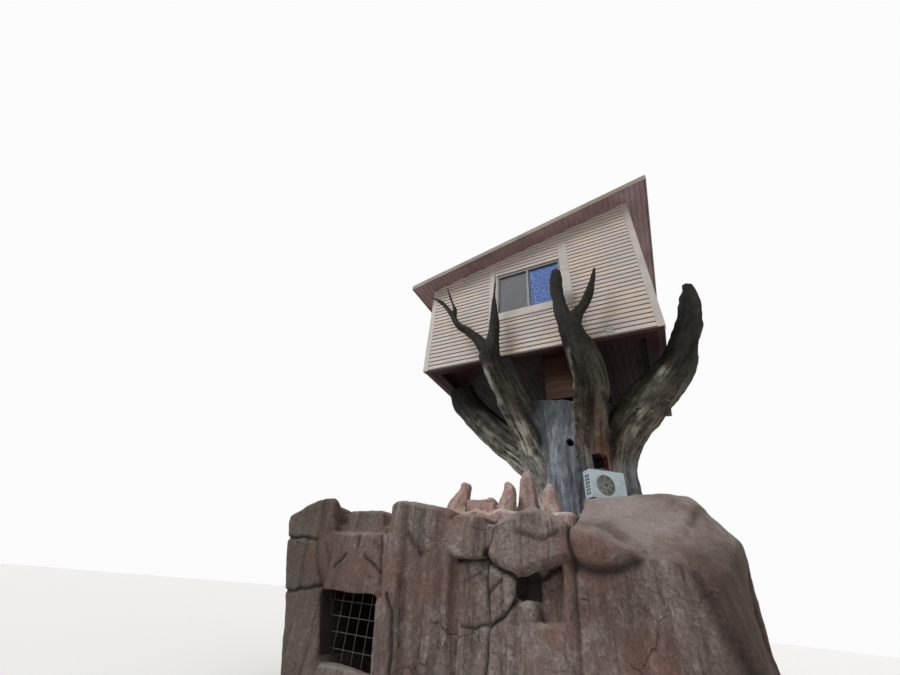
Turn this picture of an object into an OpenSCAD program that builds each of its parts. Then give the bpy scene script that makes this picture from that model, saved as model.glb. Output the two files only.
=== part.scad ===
// Tree house: a timber cabin carried by a cement tree that stands on a base of modelled rock.
// Front is towards -Y, up is +Z, and the origin is on the ground under the middle of the trunk.

/* [Cabin] */
// Width of the cabin along its front
cabin_w = 5150; // [4000:10:6000]
// Depth of the cabin from front to back
cabin_d = 4200; // [3600:10:5000]
// Left face of the cabin, from the middle of the trunk
cabin_left_x = -3120; // [-3400:10:-2800]
// Height of the cabin's lower edge over the ground
cabin_z = 5900; // [5700:10:6300]
// Height of the left wall, on the low side of the roof
wall_low_h = 2650; // [2300:10:3000]
// Rise of the roof across the cabin, per metre of width
roof_rise_per_m = 212; // [120:1:260]
// Thickness of the boarded walls with their studs
wall_t = 110; // [80:5:160]
// Projection of the corner boards in front of the walls
corner_t = 22; // [15:1:40]
// Width of the corner boards
corner_w = 110; // [80:5:160]

/* [Window] */
// Width of the window opening
window_w = 1590; // [1200:10:1800]
// Height of the window opening
window_h = 1250; // [900:10:1350]
// Left edge of the window from the left end of the wall
window_x = 1870; // [1500:10:2200]
// Sill height over the lower edge of the wall
window_sill_h = 1210; // [900:10:1300]
// Width of the window frame's members
frame_w = 40; // [30:1:60]
// Depth of the window frame
frame_t = 70; // [50:1:100]
// Thickness of the window's panes
pane_t = 8; // [6:1:12]
// Width of the trim boards beside and under the window
casing_w = 200; // [80:5:240]

/* [Roof] */
// Thickness of the boarded roof deck
roof_t = 105; // [80:5:160]
// Thickness of the roof sheet
sheet_t = 12; // [8:1:20]
// Overhang of the roof in front and behind
roof_over_y = 400; // [200:10:600]
// Overhang of the roof at the two sides
roof_over_x = 480; // [300:10:600]
// Thickness of the fascia boards
fascia_t = 28; // [20:1:40]
// Height of the fascia boards
fascia_h = 130; // [110:5:200]

/* [Floor] */
// Height of the floor beams
beam_h = 190; // [150:5:240]
// Width of the front and back floor beams
beam_w = 150; // [100:5:200]
// Width of the floor beams at the two sides
side_beam_w = 220; // [150:5:260]
// Width of the two trimmers beside the shaft
trimmer_w = 80; // [60:5:100]
// Thickness of the floor boards
floor_t = 35; // [25:1:50]

/* [Shaft] */
// Width of the boarded shaft between the trunk and the floor
shaft_w = 1080; // [900:10:1200]
// Depth of the boarded shaft
shaft_d = 1080; // [900:10:1200]
// Middle of the shaft along X
shaft_x = 200; // [100:10:300]
// Setback of the shaft behind the cabin's front
shaft_setback = 540; // [480:10:600]
// Thickness of the shaft's boards
shaft_t = 40; // [30:1:60]

/* [Tree] */
// Height of the trunk's foot over the ground
trunk_z = 2750; // [2600:10:2800]
// Height of the trunk's flat top over the ground
trunk_top_z = 5000; // [4900:10:5100]
// Radius of the trunk's core at its foot
trunk_r = 880; // [800:10:950]
// Radius of the trunk's core at its top
trunk_top_r = 1150; // [1050:10:1250]
// Radius of the round knot hole in the trunk
knot_r = 60; // [40:5:80]
// Width of the square recess over the outdoor unit
niche_w = 250; // [200:10:320]
// Height of the square recess
niche_h = 240; // [180:10:280]
// Depth of the square recess
niche_d = 430; // [300:10:500]

/* [Rock base] */
// Left end of the rock at the ground
rock_left_x = -4300; // [-4600:10:-4100]
// Right end of the rock
rock_right_x = 2250; // [2150:10:2350]
// Front of the rock
rock_front_y = -2900; // [-3050:10:-2850]
// Back of the rock
rock_back_y = 2500; // [2300:10:2700]
// Depth of the stones that make the rock's front
stone_d = 500; // [450:10:600]
// Outward lean of the rock's left side, per metre of height and of distance
rock_lean = 0.13; // [0.08:0.01:0.15]
// Roundness of the rock's edges
rock_r = 150; // [100:5:200]
// Rounding of the sharper stone over the ledge
ledge_r = 80; // [50:5:150]
// Width of the den's mouth at the ground's level
den_w = 910; // [800:10:1000]
// Height of the den's mouth
den_h = 880; // [750:10:900]
// Sill of the den's mouth over the ground
den_sill_z = 570; // [450:10:650]
// Depth of the stones round the den's mouth
den_stone_d = 260; // [250:10:400]
// Depth of the den behind the front stones
den_d = 1500; // [1200:10:1700]
// Distance between the wires of the den's grille
grille_pitch = 200; // [80:5:250]
// Radius of the grille's wires
wire_r = 4; // [3:0.5:6]

/* [Outdoor unit] */
// Width of the outdoor unit
unit_w = 660; // [600:5:720]
// Height of the outdoor unit's case
unit_h = 475; // [440:5:520]
// Depth of the outdoor unit
unit_d = 242; // [220:1:280]
// Turn of the outdoor unit away from the cabin's front
unit_turn = 37; // [10:1:45]
// Diameter of the fan
fan_dia = 340; // [300:5:380]
// Running gap round the fan
fan_gap = 12; // [8:1:20]
// Radius of the fan's spindle
spindle_r = 6; // [4:1:8]
// Front left corner of the unit along X
unit_x = 290; // [200:10:320]
// Front left corner of the unit along Y
unit_y = -1390; // [-1450:10:-1300]
// Height of the rock's shelf under the unit
shelf_z = 3100; // [3000:10:3150]
// Height of the unit's feet
foot_h = 60; // [40:5:80]
// Thickness of the unit's sheet case
case_t = 10; // [6:1:14]

/* [Hidden] */

// Small overrun that makes a cut pass clean through a face
cut = 1;

stone = [0.47, 0.38, 0.36];
bark = [0.40, 0.40, 0.42];
board = [0.80, 0.74, 0.70];
trim = [0.82, 0.80, 0.77];
stain = [0.33, 0.15, 0.12];
sheet = [0.55, 0.56, 0.58];
enamel = [0.80, 0.83, 0.84];
wire = [0.30, 0.31, 0.31];

// Cabin outline
front_y = -cabin_d / 2;
back_y = cabin_d / 2;
cabin_right_x = cabin_left_x + cabin_w;
slope = roof_rise_per_m / 1000;
window_x0 = cabin_left_x + window_x;
window_z0 = cabin_z + window_sill_h;
in_x0 = cabin_left_x + wall_t;
in_x1 = cabin_right_x - wall_t;
in_y0 = front_y + wall_t;
in_y1 = back_y - wall_t;
floor_z = cabin_z + beam_h;
shaft_y = front_y + shaft_setback;
shaft_x0 = shaft_x - shaft_w / 2;
shaft_x1 = shaft_x + shaft_w / 2;
trimmer_h = beam_h - 60;
seat_gap = 0.1;

// Plan of the rock: where one stone ends and the next begins, at the ground
den_x1 = -2620;
den_x0 = den_x1 - den_w;
jamb_x1 = -2290;
lintel_x1 = -2430;
folds_x1 = -1478;
panel_x1 = -1050;
hollow_x0 = -640;
crag_x1 = 150;
core_x1 = 1000;
peak_x1 = -3300;
block_x0 = -3200;
block_x1 = -2540;
stone_back_y = rock_front_y + stone_d;
den_stone_y = rock_front_y + den_stone_d;
den_back_y = stone_back_y + den_d;
shelf_y = -950;
core_back_y = 1000;

// Heights of the stones
lintel_z = den_sill_z + den_h;
ledge_z = 2320;
left_z = 2670;
peak_z = 2900;
block_z = 2700;
den_roof_z = 1600;
folds_z = 2810;
panel_ledge_z = 2030;
panel_z = 2580;
crag_foot_z = 1380;
crag_neck_z = 2060;
flank_z = 2950;
back_left_z = 2700;
back_right_z = 2850;
lean_x = -1000;
big_r = 250;
inset = 0.82;
grille_lap = 40;

// Front outline of the boulder over the hollow: x and z of its corner balls
boulder = [[-840, 2380], [-880, 2130], [-560, 1995], [40, 2190], [40, 2400], [-150, 2530],
    [-330, 2590], [-640, 2430]];
pebble_r = 150;

// The stone under the outdoor unit: x, y and height of its corner balls
mound_r = 180;
mound_front_y = rock_front_y + 230;
mound_edge_y = -1480;
mound = [[crag_x1 + 110, mound_front_y, 2300], [760, mound_front_y, 2130],
    [rock_right_x - 540, mound_front_y + 130, 1960], [crag_x1 - 120, -2150, 2500],
    [crag_x1 + 110, mound_edge_y, shelf_z - 100], [rock_right_x - 670, mound_edge_y, shelf_z - 100],
    [rock_right_x - 270, -1640, 2400], [crag_x1 - 100, shelf_y, shelf_z - 100],
    [rock_right_x - 620, shelf_y, shelf_z - 110], [rock_right_x - 240, shelf_y, 2440]];
mound_waist = [[crag_x1 + 110, mound_front_y], [rock_right_x - 540, mound_front_y + 130],
    [rock_right_x - 380, -1650], [rock_right_x - 380, shelf_y], [crag_x1 + 110, shelf_y]];
mound_waist_z = 1720;
mound_foot = [[crag_x1 + 110, mound_front_y], [rock_right_x - 420, mound_front_y + 60],
    [rock_right_x - 180, -1650], [rock_right_x - 180, shelf_y], [crag_x1 + 110, shelf_y]];

// Small rocks on the deck, as x and y
flat_rock = [-1467, -2260];
flat_rock_r = 160;
round_rock = [-1370, -1850];
round_rock_r = 190;
round_rock_h = 130;

// Recess and knot hole in the trunk
niche_x = 330;
niche_y = -1150;
niche_z = 3735;
knot_x = -30;
knot_y = -900;
knot_z = 4210;
knot_l = 600;

// Points of the limbs: x, y, z and radius, from the foot to the tip
middle_root = [[-330, -520, trunk_z, 440], [-330, -600, 3500, 430], [-300, -780, 4200, 450],
    [-150, -1060, trunk_top_z, 560]];
left_front = [[-620, -430, trunk_z, 330], [-640, -560, 3300, 310], [-700, -800, 3820, 290],
    [-840, -1000, 4140, 252], [-980, -1350, 4610, 220], [-1100, -1850, 5090, 220],
    [-1200, -2350, 5540, 225], [-1270, -2470, 5850, 215]];
left_spike = [[-1270, -2470, 5850, 200], [-1170, -2490, 6160, 125], [-1150, -2500, 6470, 98],
    [-1155, -2500, 6950, 60], [-1160, -2500, 7330, 34], [-1147, -2500, 7730, 22],
    [-1126, -2500, 8560, 10]];
left_arm = [[-1270, -2470, 5850, 180], [-1440, -2520, 6060, 110], [-1750, -2560, 6440, 88],
    [-2015, -2600, 6690, 72], [-2180, -2600, 7020, 60], [-2430, -2600, 7400, 38],
    [-2660, -2600, 7640, 26], [-2887, -2600, 7820, 14]];
left_twig = [[-2160, -2600, 6980, 55], [-2140, -2600, 7170, 46], [-2215, -2600, 7385, 26],
    [-2365, -2600, 7805, 16], [-2422, -2600, 8004, 9]];
inner_path = [[-560, -420, 3900, 260], [-790, -600, 4310, 240], [-880, -1000, 4860, 245],
    [-970, -1500, 5340, 225], [-1080, -1850, 5640, 215], [-1170, -1960, 5980, 200]];
left_low = [[-620, 0, trunk_z, 380], [-680, -60, 3400, 380], [-850, -200, 3900, 390],
    [-1300, -320, 4350, 390], [-1800, -480, 4760, 370], [-2220, -700, 5180, 350],
    [-2530, -880, 5570, 320], [-2650, -1000, 5980, 290]];
centre_path = [[330, -520, trunk_z, 320], [320, -600, 3500, 300], [311, -850, 4100, 320],
    [385, -1050, 4480, 320], [480, -1350, 4870, 310], [575, -1750, 5210, 305],
    [595, -2100, 5410, 295], [515, -2440, 5720, 255], [430, -2510, 6070, 240]];
centre_stub = [[430, -2510, 6070, 200], [333, -2520, 6420, 150], [286, -2520, 6810, 136],
    [283, -2520, 7270, 130], [307, -2520, 7570, 95]];
centre_arm = [[430, -2510, 6070, 180], [612, -2520, 6280, 138], [795, -2550, 6480, 95],
    [930, -2550, 6790, 70], [1092, -2550, 7350, 28]];
right_path = [[650, -330, trunk_z, 350], [660, -400, 3400, 345], [700, -470, 3990, 350],
    [970, -600, 4570, 385], [1455, -800, 5015, 395], [1840, -1000, 5255, 375],
    [2190, -1250, 5610, 300], [2330, -1300, 5980, 255], [2560, -1340, 6490, 205],
    [2680, -1380, 6900, 170], [2740, -1400, 7300, 90]];

// Inside of the outdoor unit, measured from its front left corner
fan_x = unit_w * 0.43;
fan_z = foot_h + unit_h * 0.47;
fan_y = 50;
fan_t = 70;
hub_r = 45;
blade_pitch = 28;
blade_w = 130;
blade_t = 5;
guard_r = fan_dia / 2 + fan_gap;
guard_pitch = 28;
guard_t = 8;
guard_wire = 4;
guard_rim = 7;
motor_r = 50;
motor_l = 70;
motor_y = fan_y + fan_t + fan_gap;
motor_bar_w = 60;
motor_bar_t = 12;
spindle_gap = 0.3;
spindle_l = 35;
bore_l = 40;
foot_w = 40;
foot_x = 70;
foot_out = 10;
coil_y = 30;
coil_w = unit_d - 2 * coil_y;
coil_edge = 40;
coil_h = unit_h - 2 * coil_edge;
coil_x = 2;
coil_t = 6;
coil_hole_w = 65;
coil_hole_h = 45;
coil_bar = 14;

// A point on the rock, leaning out to the left with its height
function lean(p) = [
    p.x < lean_x ? lean_x + (p.x - lean_x) * (1 + rock_lean * p.z / 1000) : p.x,
    p.y,
    p.z
];

// One rounded stone: the hull of balls at its corners
module stone_form(corners, r = rock_r) {
    hull()
        for (p = corners)
            translate(lean(p))
                sphere(r = r, $fn = 8);
}

// The space that a stone may fill, with the same lean and a hair's gap to its neighbours
module stone_cell(a, b) {
    g = seat_gap / 2;
    hull()
        polyhedron(
            points = [for (x = [a.x + g, b.x - g], y = [a.y + g, b.y - g], z = [a.z, b.z]) lean([x, y, z])],
            faces = [[0, 1, 3, 2], [4, 6, 7, 5]]
        );
}

// A stone that fills its cell apart from its rounded edges; top lowers or lifts its four upper corners
module stone(a, b, top = [0, 0, 0, 0], r = rock_r) {
    s = r * inset;
    intersection() {
        stone_form([
            [a.x + s, a.y + s, a.z + s / 2], [b.x - s, a.y + s, a.z + s / 2],
            [a.x + s, b.y - s, a.z + s / 2], [b.x - s, b.y - s, a.z + s / 2],
            [a.x + s, a.y + s, b.z - s + top[0]], [b.x - s, a.y + s, b.z - s + top[1]],
            [a.x + s, b.y - s, b.z - s + top[2]], [b.x - s, b.y - s, b.z - s + top[3]]
        ], r);
        stone_cell(a, [b.x, b.y, b.z + max(top)]);
    }
}

// A standing splinter of rock on the deck, from its place, height, radius and the lean of its
// tip; blunt is the tip's radius as a share of the foot's
module spire(at, h, r, tilt, blunt = 0.4) {
    color(stone)
        translate([at.x, at.y, trunk_z])
            hull() {
                cylinder(r = r, h = h * 0.25, $fn = 9);
                translate([tilt * 0.6, 0, h * 0.6])
                    cylinder(r = r * 0.68, h = h * 0.1, $fn = 8);
                translate([tilt, 0, h * 0.88])
                    cylinder(r = r * blunt, h = h * 0.07, $fn = 7);
                translate([tilt, 0, h * 0.95])
                    cylinder(r = r * blunt * 0.7, h = h * 0.05, $fn = 7);
            }
}

function unit(v) = v / norm(v);
function place(p) = [p.x, p.y, p.z];

// The direction of a path at its point i
function heading(path, i) = unit(
    place(path[min(i + 1, len(path) - 1)]) - place(path[max(i - 1, 0)])
);

// A ring of points round a path's point i, square to its direction
function ring(path, i, sides) =
    let (d = heading(path, i))
    let (u = unit(cross(d, [0.2, 1, 0.1])))
    let (v = cross(d, u))
    [for (k = [0 : sides - 1])
        place(path[i]) + path[i][3] * (cos(360 * k / sides) * u + sin(360 * k / sides) * v)];

// A tapering limb along a path, or its stretch from one point to another
module limb(path, sides = 12, first = 0, last = 99) {
    for (i = [first : min(last, len(path) - 1) - 1])
        hull()
            polyhedron(
                points = concat(ring(path, i, sides), ring(path, i + 1, sides)),
                faces = [[for (k = [0 : sides - 1]) k], [for (k = [0 : sides - 1]) sides + k]]
            );
}

// The last point of a limb that belongs to the trunk
root_end = 3;

module trunk_form() {
    intersection() {
        union() {
            limb([[0, 0, trunk_z - 100, trunk_r], [0, 0, trunk_z + 900, trunk_r - 20],
                [0, 0, trunk_z + 1550, trunk_r + 60], [0, 0, trunk_top_z + 100, trunk_top_r]], 20);
            limb(middle_root);
            limb(left_front, last = root_end);
            limb(left_low, last = root_end);
            limb(centre_path, last = root_end);
            limb(right_path, last = root_end);
            mirror([0, 1, 0]) {
                limb(middle_root);
                limb(left_front, last = root_end);
                limb(centre_path, last = root_end);
            }
        }
        translate([-3000, -3000, trunk_z])
            cube([6000, 6000, trunk_top_z - trunk_z]);
    }
}

// The space of the cabin and its floor, which the limbs stop under
module cabin_space() {
    translate([cabin_left_x - 30, front_y - 30, cabin_z])
        cube([cabin_w + 60, cabin_d + 60, 4000]);
}

// The outside of the shaft, from the trunk's top to the floor boards
module shaft_space() {
    translate([shaft_x0, shaft_y, trunk_top_z])
        cube([shaft_w, shaft_d, floor_z - trunk_top_z]);
}

// The stone under the outdoor unit: its shoulder overhangs a waist, and its foot spreads again
module shelf_form() {
    waist = [for (p = mound_waist) [p.x, p.y, mound_waist_z]];
    intersection() {
        union() {
            stone_form(concat(mound, waist), mound_r);
            stone_form(concat(waist, [for (p = mound_foot) [p.x, p.y, 100]]), mound_r);
        }
        stone_cell([crag_x1, rock_front_y, 0], [rock_right_x, shelf_y, shelf_z]);
    }
}

// The left block with the peak that stands over the lintel's left end
module rock_left_block() {
    color(stone) {
        stone([rock_left_x, rock_front_y, 0], [den_x0, den_back_y, left_z], [-30, 210, -150, 60]);
        stone([den_x0, rock_front_y, ledge_z], [peak_x1, den_stone_y, peak_z], [0, -40, -60, -140], 110);
    }
}

module rock_lintel() {
    color(stone)
        stone([den_x0, rock_front_y, lintel_z], [lintel_x1, den_stone_y, ledge_z]);
}

// The block that lies back on the lintel, and the roof of the den behind it
module rock_upper_block() {
    color(stone)
        union() {
            stone([block_x0, rock_front_y + 150, ledge_z], [block_x1, stone_back_y, block_z], r = 110);
            stone([den_x0, den_stone_y, den_roof_z], [lintel_x1, den_back_y, left_z]);
        }
}

module rock_jamb() {
    color(stone)
        stone([den_x1, rock_front_y - 40, 0], [jamb_x1, den_stone_y, lintel_z]);
}

module rock_sill() {
    color(stone)
        stone([den_x0, rock_front_y, 0], [den_x1, den_stone_y, den_sill_z], r = 80);
}

module rock_folds() {
    color(stone)
        intersection() {
            union() {
                stone([jamb_x1, rock_front_y, 0], [folds_x1, stone_back_y, folds_z], [0, -130, 0, -130]);
                stone([lintel_x1, rock_front_y, lintel_z], [jamb_x1 + 200, stone_back_y, folds_z + 30]);
            }
            stone_cell([lintel_x1, rock_front_y, 0], [folds_x1, stone_back_y, folds_z + 100]);
        }
}

module rock_panel() {
    color(stone) {
        stone([folds_x1, rock_front_y + 150, 0], [panel_x1, stone_back_y, panel_ledge_z]);
        stone([folds_x1, rock_front_y, panel_ledge_z], [panel_x1, stone_back_y, panel_z], r = ledge_r);
    }
}

// A boulder that overhangs a hollow with a small round stone in it
module rock_crag() {
    foot_y = rock_front_y + 120;
    neck_y = rock_front_y + 330;
    color(stone)
        union() {
            stone([panel_x1, rock_front_y + 60, 0], [hollow_x0, stone_back_y, crag_neck_z]);
            stone([hollow_x0, foot_y, 0], [crag_x1, stone_back_y, crag_foot_z]);
            stone([hollow_x0, neck_y, crag_foot_z], [crag_x1, stone_back_y, crag_neck_z]);
            translate([hollow_x0 + pebble_r, foot_y + 110, crag_foot_z + 90])
                sphere(r = pebble_r, $fn = 12);
            intersection() {
                stone_form([for (p = boulder, y = [rock_front_y + 50, stone_back_y]) [p.x, y, p[1]]]);
                stone_cell([panel_x1, rock_front_y - 100, 0], [crag_x1, stone_back_y, 3000]);
            }
        }
}

module rock_mound() {
    color(stone)
        shelf_form();
}

module rock_flank() {
    color(stone)
        stone([core_x1, shelf_y, 0], [rock_right_x, core_back_y, flank_z], [100, -250, 0, -350], big_r);
}

// The mass under the deck; its right part reaches into the left one, so that they are one solid
module rock_core() {
    color(stone)
        union() {
            stone_cell([lintel_x1, stone_back_y, 0], [crag_x1, core_back_y, trunk_z]);
            stone_cell([lintel_x1, den_stone_y, 0], [jamb_x1, core_back_y, lintel_z]);
            stone_cell([lean_x, shelf_y, 0], [core_x1, core_back_y, trunk_z]);
        }
}

module rock_back_left() {
    color(stone)
        stone([rock_left_x, den_back_y, 0], [lintel_x1, rock_back_y, back_left_z], [-150, 0, -400, -100], big_r);
}

module rock_back_right() {
    color(stone)
        stone([lintel_x1, core_back_y, 0], [rock_right_x, rock_back_y, back_right_z], [0, 0, -200, -350], big_r);
}

// Welded wires in a frame behind the front stones, its left edge along the leaning block
module den_grille() {
    z0 = den_sill_z - grille_lap;
    z1 = lintel_z + grille_lap;
    left = lean([den_x0, 0, z0]).x + seat_gap;
    left_top = lean([den_x0, 0, z1]).x + seat_gap;
    right = lean([den_x1, 0, z0]).x + grille_lap;
    right_top = lean([den_x1, 0, z1]).x + grille_lap;
    rim = 3 * wire_r;
    color(wire)
        translate([0, den_stone_y + 2 * wire_r, 0])
            rotate([90, 0, 0])
                linear_extrude(2 * wire_r) {
                    difference() {
                        polygon([[left, z0], [right, z0], [right_top, z1], [left_top, z1]]);
                        polygon([[left + rim, z0 + rim], [right - rim, z0 + rim],
                            [right_top - rim, z1 - rim], [left_top + rim, z1 - rim]]);
                    }
                    intersection() {
                        polygon([[left, z0], [right, z0], [right_top, z1], [left_top, z1]]);
                        union() {
                            for (x = [right - grille_pitch : -grille_pitch : left_top])
                                translate([x - wire_r, z0])
                                    square([2 * wire_r, z1 - z0]);
                            for (z = [z0 + grille_pitch : grille_pitch : z1 - rim])
                                translate([left_top, z - wire_r])
                                    square([right - left_top, 2 * wire_r]);
                        }
                    }
                }
}

module left_spire() {
    spire([-1880, -2150], h = 530, r = 250, tilt = 150);
}

module middle_spire() {
    spire([-997, -2150], h = 540, r = 190, tilt = 60);
}

module tall_spire() {
    spire([-750, -1850], h = 780, r = 180, tilt = 55);
}

module small_spire() {
    spire([-300, -2150], h = 445, r = 168, tilt = 55, blunt = 0.18);
}

// A flat rock at the rim and a round one behind it
module rim_rocks() {
    color(stone) {
        translate([flat_rock.x, flat_rock.y, trunk_z])
            cylinder(r = flat_rock_r, h = flat_rock_r, $fn = 7);
        translate([round_rock.x, round_rock.y, trunk_z])
            union() {
                cylinder(r = round_rock_r, h = round_rock_h);
                translate([0, 0, round_rock_h])
                    intersection() {
                        sphere(r = round_rock_r, $fn = 20);
                        cylinder(r = 2 * round_rock_r, h = 2 * round_rock_r);
                    }
            }
    }
}

module trunk() {
    color(bark)
        difference() {
            trunk_form();
            shelf_form();
            translate([knot_x, knot_y, knot_z])
                rotate([90, 0, 0])
                    cylinder(r = knot_r, h = knot_l, $fn = 16);
            translate([niche_x, niche_y, niche_z])
                cube([niche_w, niche_d, niche_h]);
        }
}

module left_front_branch() {
    color(bark)
        difference() {
            union() {
                limb(left_front, first = root_end);
                limb(left_spike, 10);
                limb(left_arm, 10);
                limb(left_twig, 8);
            }
            trunk_form();
            cabin_space();
        }
}

module inner_limb() {
    color(bark)
        difference() {
            limb(inner_path);
            trunk_form();
            limb(left_front);
            cabin_space();
        }
}

module left_limb() {
    color(bark)
        difference() {
            limb(left_low, first = root_end);
            trunk_form();
            limb(left_front);
            limb(inner_path);
            cabin_space();
        }
}

module centre_branch() {
    color(bark)
        difference() {
            union() {
                limb(centre_path, first = root_end);
                limb(centre_stub, 10);
                limb(centre_arm, 10);
            }
            trunk_form();
            shaft_space();
            cabin_space();
        }
}

module right_limb() {
    color(bark)
        difference() {
            limb(right_path, first = root_end);
            trunk_form();
            limb(centre_path);
            cabin_space();
        }
}

module back_left_branch() {
    color(bark)
        difference() {
            mirror([0, 1, 0]) {
                limb(left_front, first = root_end);
                limb(left_spike, 10);
                limb(left_arm, 10);
            }
            trunk_form();
            cabin_space();
        }
}

module back_right_branch() {
    color(bark)
        difference() {
            mirror([0, 1, 0]) {
                limb(centre_path, first = root_end);
                limb(centre_stub, 10);
                limb(centre_arm, 10);
            }
            trunk_form();
            cabin_space();
        }
}

// The boarded shaft stands on the trunk's top and ends under the floor boards
module shaft_box() {
    color([0.50, 0.27, 0.16])
        difference() {
            shaft_space();
            translate([shaft_x0 + shaft_t, shaft_y + shaft_t, trunk_top_z - cut])
                cube([shaft_w - 2 * shaft_t, shaft_d - 2 * shaft_t, floor_z - trunk_top_z + 2 * cut]);
        }
}

// Four beams round the floor and two trimmers beside the shaft
module floor_frame() {
    color(stain)
        union() {
            for (y = [in_y0, in_y1 - beam_w])
                translate([in_x0, y, cabin_z])
                    cube([in_x1 - in_x0, beam_w, beam_h]);
            for (x = [in_x0, in_x1 - side_beam_w])
                translate([x, in_y0, cabin_z])
                    cube([side_beam_w, in_y1 - in_y0, beam_h]);
            for (x = [shaft_x0 - trimmer_w, shaft_x1])
                translate([x, in_y0 + beam_w, floor_z - trimmer_h])
                    cube([trimmer_w, in_y1 - in_y0 - 2 * beam_w, trimmer_h]);
        }
}

module floor_deck() {
    color(stain)
        translate([in_x0, in_y0, floor_z])
            cube([in_x1 - in_x0, in_y1 - in_y0, floor_t]);
}

// A wall's outline under the sloping roof, between two places across the cabin
module wall_outline(x0, x1) {
    polygon([
        [x0, cabin_z], [x1, cabin_z],
        [x1, cabin_z + wall_low_h + (x1 - cabin_left_x) * slope],
        [x0, cabin_z + wall_low_h + (x0 - cabin_left_x) * slope]
    ]);
}

module front_wall() {
    color(board)
        translate([0, in_y0, 0])
            rotate([90, 0, 0])
                linear_extrude(wall_t)
                    difference() {
                        wall_outline(cabin_left_x, cabin_right_x);
                        translate([window_x0, window_z0])
                            square([window_w, window_h]);
                    }
}

module back_wall() {
    color(board)
        translate([0, back_y, 0])
            rotate([90, 0, 0])
                linear_extrude(wall_t)
                    wall_outline(cabin_left_x, cabin_right_x);
}

module side_wall(x) {
    translate([0, in_y1, 0])
        rotate([90, 0, 0])
            linear_extrude(in_y1 - in_y0)
                wall_outline(x, x + wall_t);
}

module left_wall() {
    color(board)
        side_wall(cabin_left_x);
}

module right_wall() {
    color(board)
        side_wall(in_x1);
}

// Two boards that meet round one corner of the cabin
module corner_board(x, y, sx, sy) {
    h = wall_low_h + (x - cabin_left_x) * slope - corner_w * slope;
    translate([x, y, cabin_z])
        mirror([sx < 0 ? 1 : 0, 0, 0])
            mirror([0, sy < 0 ? 1 : 0, 0])
                difference() {
                    translate([-corner_t, -corner_t, 0])
                        cube([corner_w + corner_t, corner_w + corner_t, h]);
                    translate([0, 0, -cut])
                        cube([corner_w + cut, corner_w + cut, h + 2 * cut]);
                }
}

module corner_boards() {
    color(trim) {
        corner_board(cabin_left_x, front_y, 1, 1);
        corner_board(cabin_left_x, back_y, 1, -1);
        corner_board(cabin_right_x, front_y, -1, 1);
        corner_board(cabin_right_x, back_y, -1, -1);
    }
}

// The window's frame, its sill and the two casing boards that run up to the roof
module window_frame() {
    casing_top = cabin_z + wall_low_h + (window_x0 - casing_w - cabin_left_x) * slope;
    color(trim)
        union() {
            translate([0, front_y + frame_t - corner_t / 2, 0])
                rotate([90, 0, 0])
                    linear_extrude(frame_t)
                        difference() {
                            translate([window_x0, window_z0])
                                square([window_w, window_h]);
                            for (i = [0, 1])
                                translate([window_x0 + frame_w + i * (window_w - frame_w) / 2, window_z0 + frame_w])
                                    square([(window_w - 3 * frame_w) / 2, window_h - 2 * frame_w]);
                        }
            for (x = [window_x0 - casing_w, window_x0 + window_w])
                translate([x, front_y - corner_t, window_z0])
                    cube([casing_w, corner_t, casing_top - window_z0]);
            translate([window_x0 - casing_w, front_y - 2 * corner_t, window_z0 - casing_w])
                cube([window_w + 2 * casing_w, 2 * corner_t, casing_w]);
        }
}

// One pane in the left or right half of the frame
module pane(i) {
    translate([window_x0 + frame_w + i * (window_w - frame_w) / 2, front_y + frame_t / 2, window_z0 + frame_w])
        cube([(window_w - 3 * frame_w) / 2, pane_t, window_h - 2 * frame_w]);
}

module mesh_pane() {
    color([0.28, 0.30, 0.31])
        pane(0);
}

module curtain_pane() {
    color([0.25, 0.37, 0.75])
        pane(1);
}

// A layer of the roof, from one height over the walls to another
module roof_layer(low, high, over_x, over_y) {
    x0 = cabin_left_x - over_x;
    x1 = cabin_right_x + over_x;
    z0 = cabin_z + wall_low_h - over_x * slope;
    z1 = z0 + (x1 - x0) * slope;
    translate([0, back_y + over_y, 0])
        rotate([90, 0, 0])
            linear_extrude(cabin_d + 2 * over_y)
                polygon([[x0, z0 + low], [x1, z1 + low], [x1, z1 + high], [x0, z0 + high]]);
}

module roof_deck() {
    color(stain)
        roof_layer(0, roof_t, roof_over_x, roof_over_y);
}

module roof_sheet() {
    color(sheet)
        roof_layer(roof_t + seat_gap, roof_t + sheet_t, roof_over_x + fascia_t, roof_over_y + fascia_t);
}

module roof_fascia() {
    color(stain)
        difference() {
            roof_layer(roof_t - fascia_h, roof_t, roof_over_x + fascia_t, roof_over_y + fascia_t);
            roof_layer(-2 * fascia_h, 2 * roof_t, roof_over_x, roof_over_y);
        }
}

// The outdoor unit's own frame: its front left corner, with the front face towards -Y
module unit_frame() {
    translate([unit_x, unit_y, shelf_z])
        rotate([0, 0, unit_turn])
            children();
}

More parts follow.
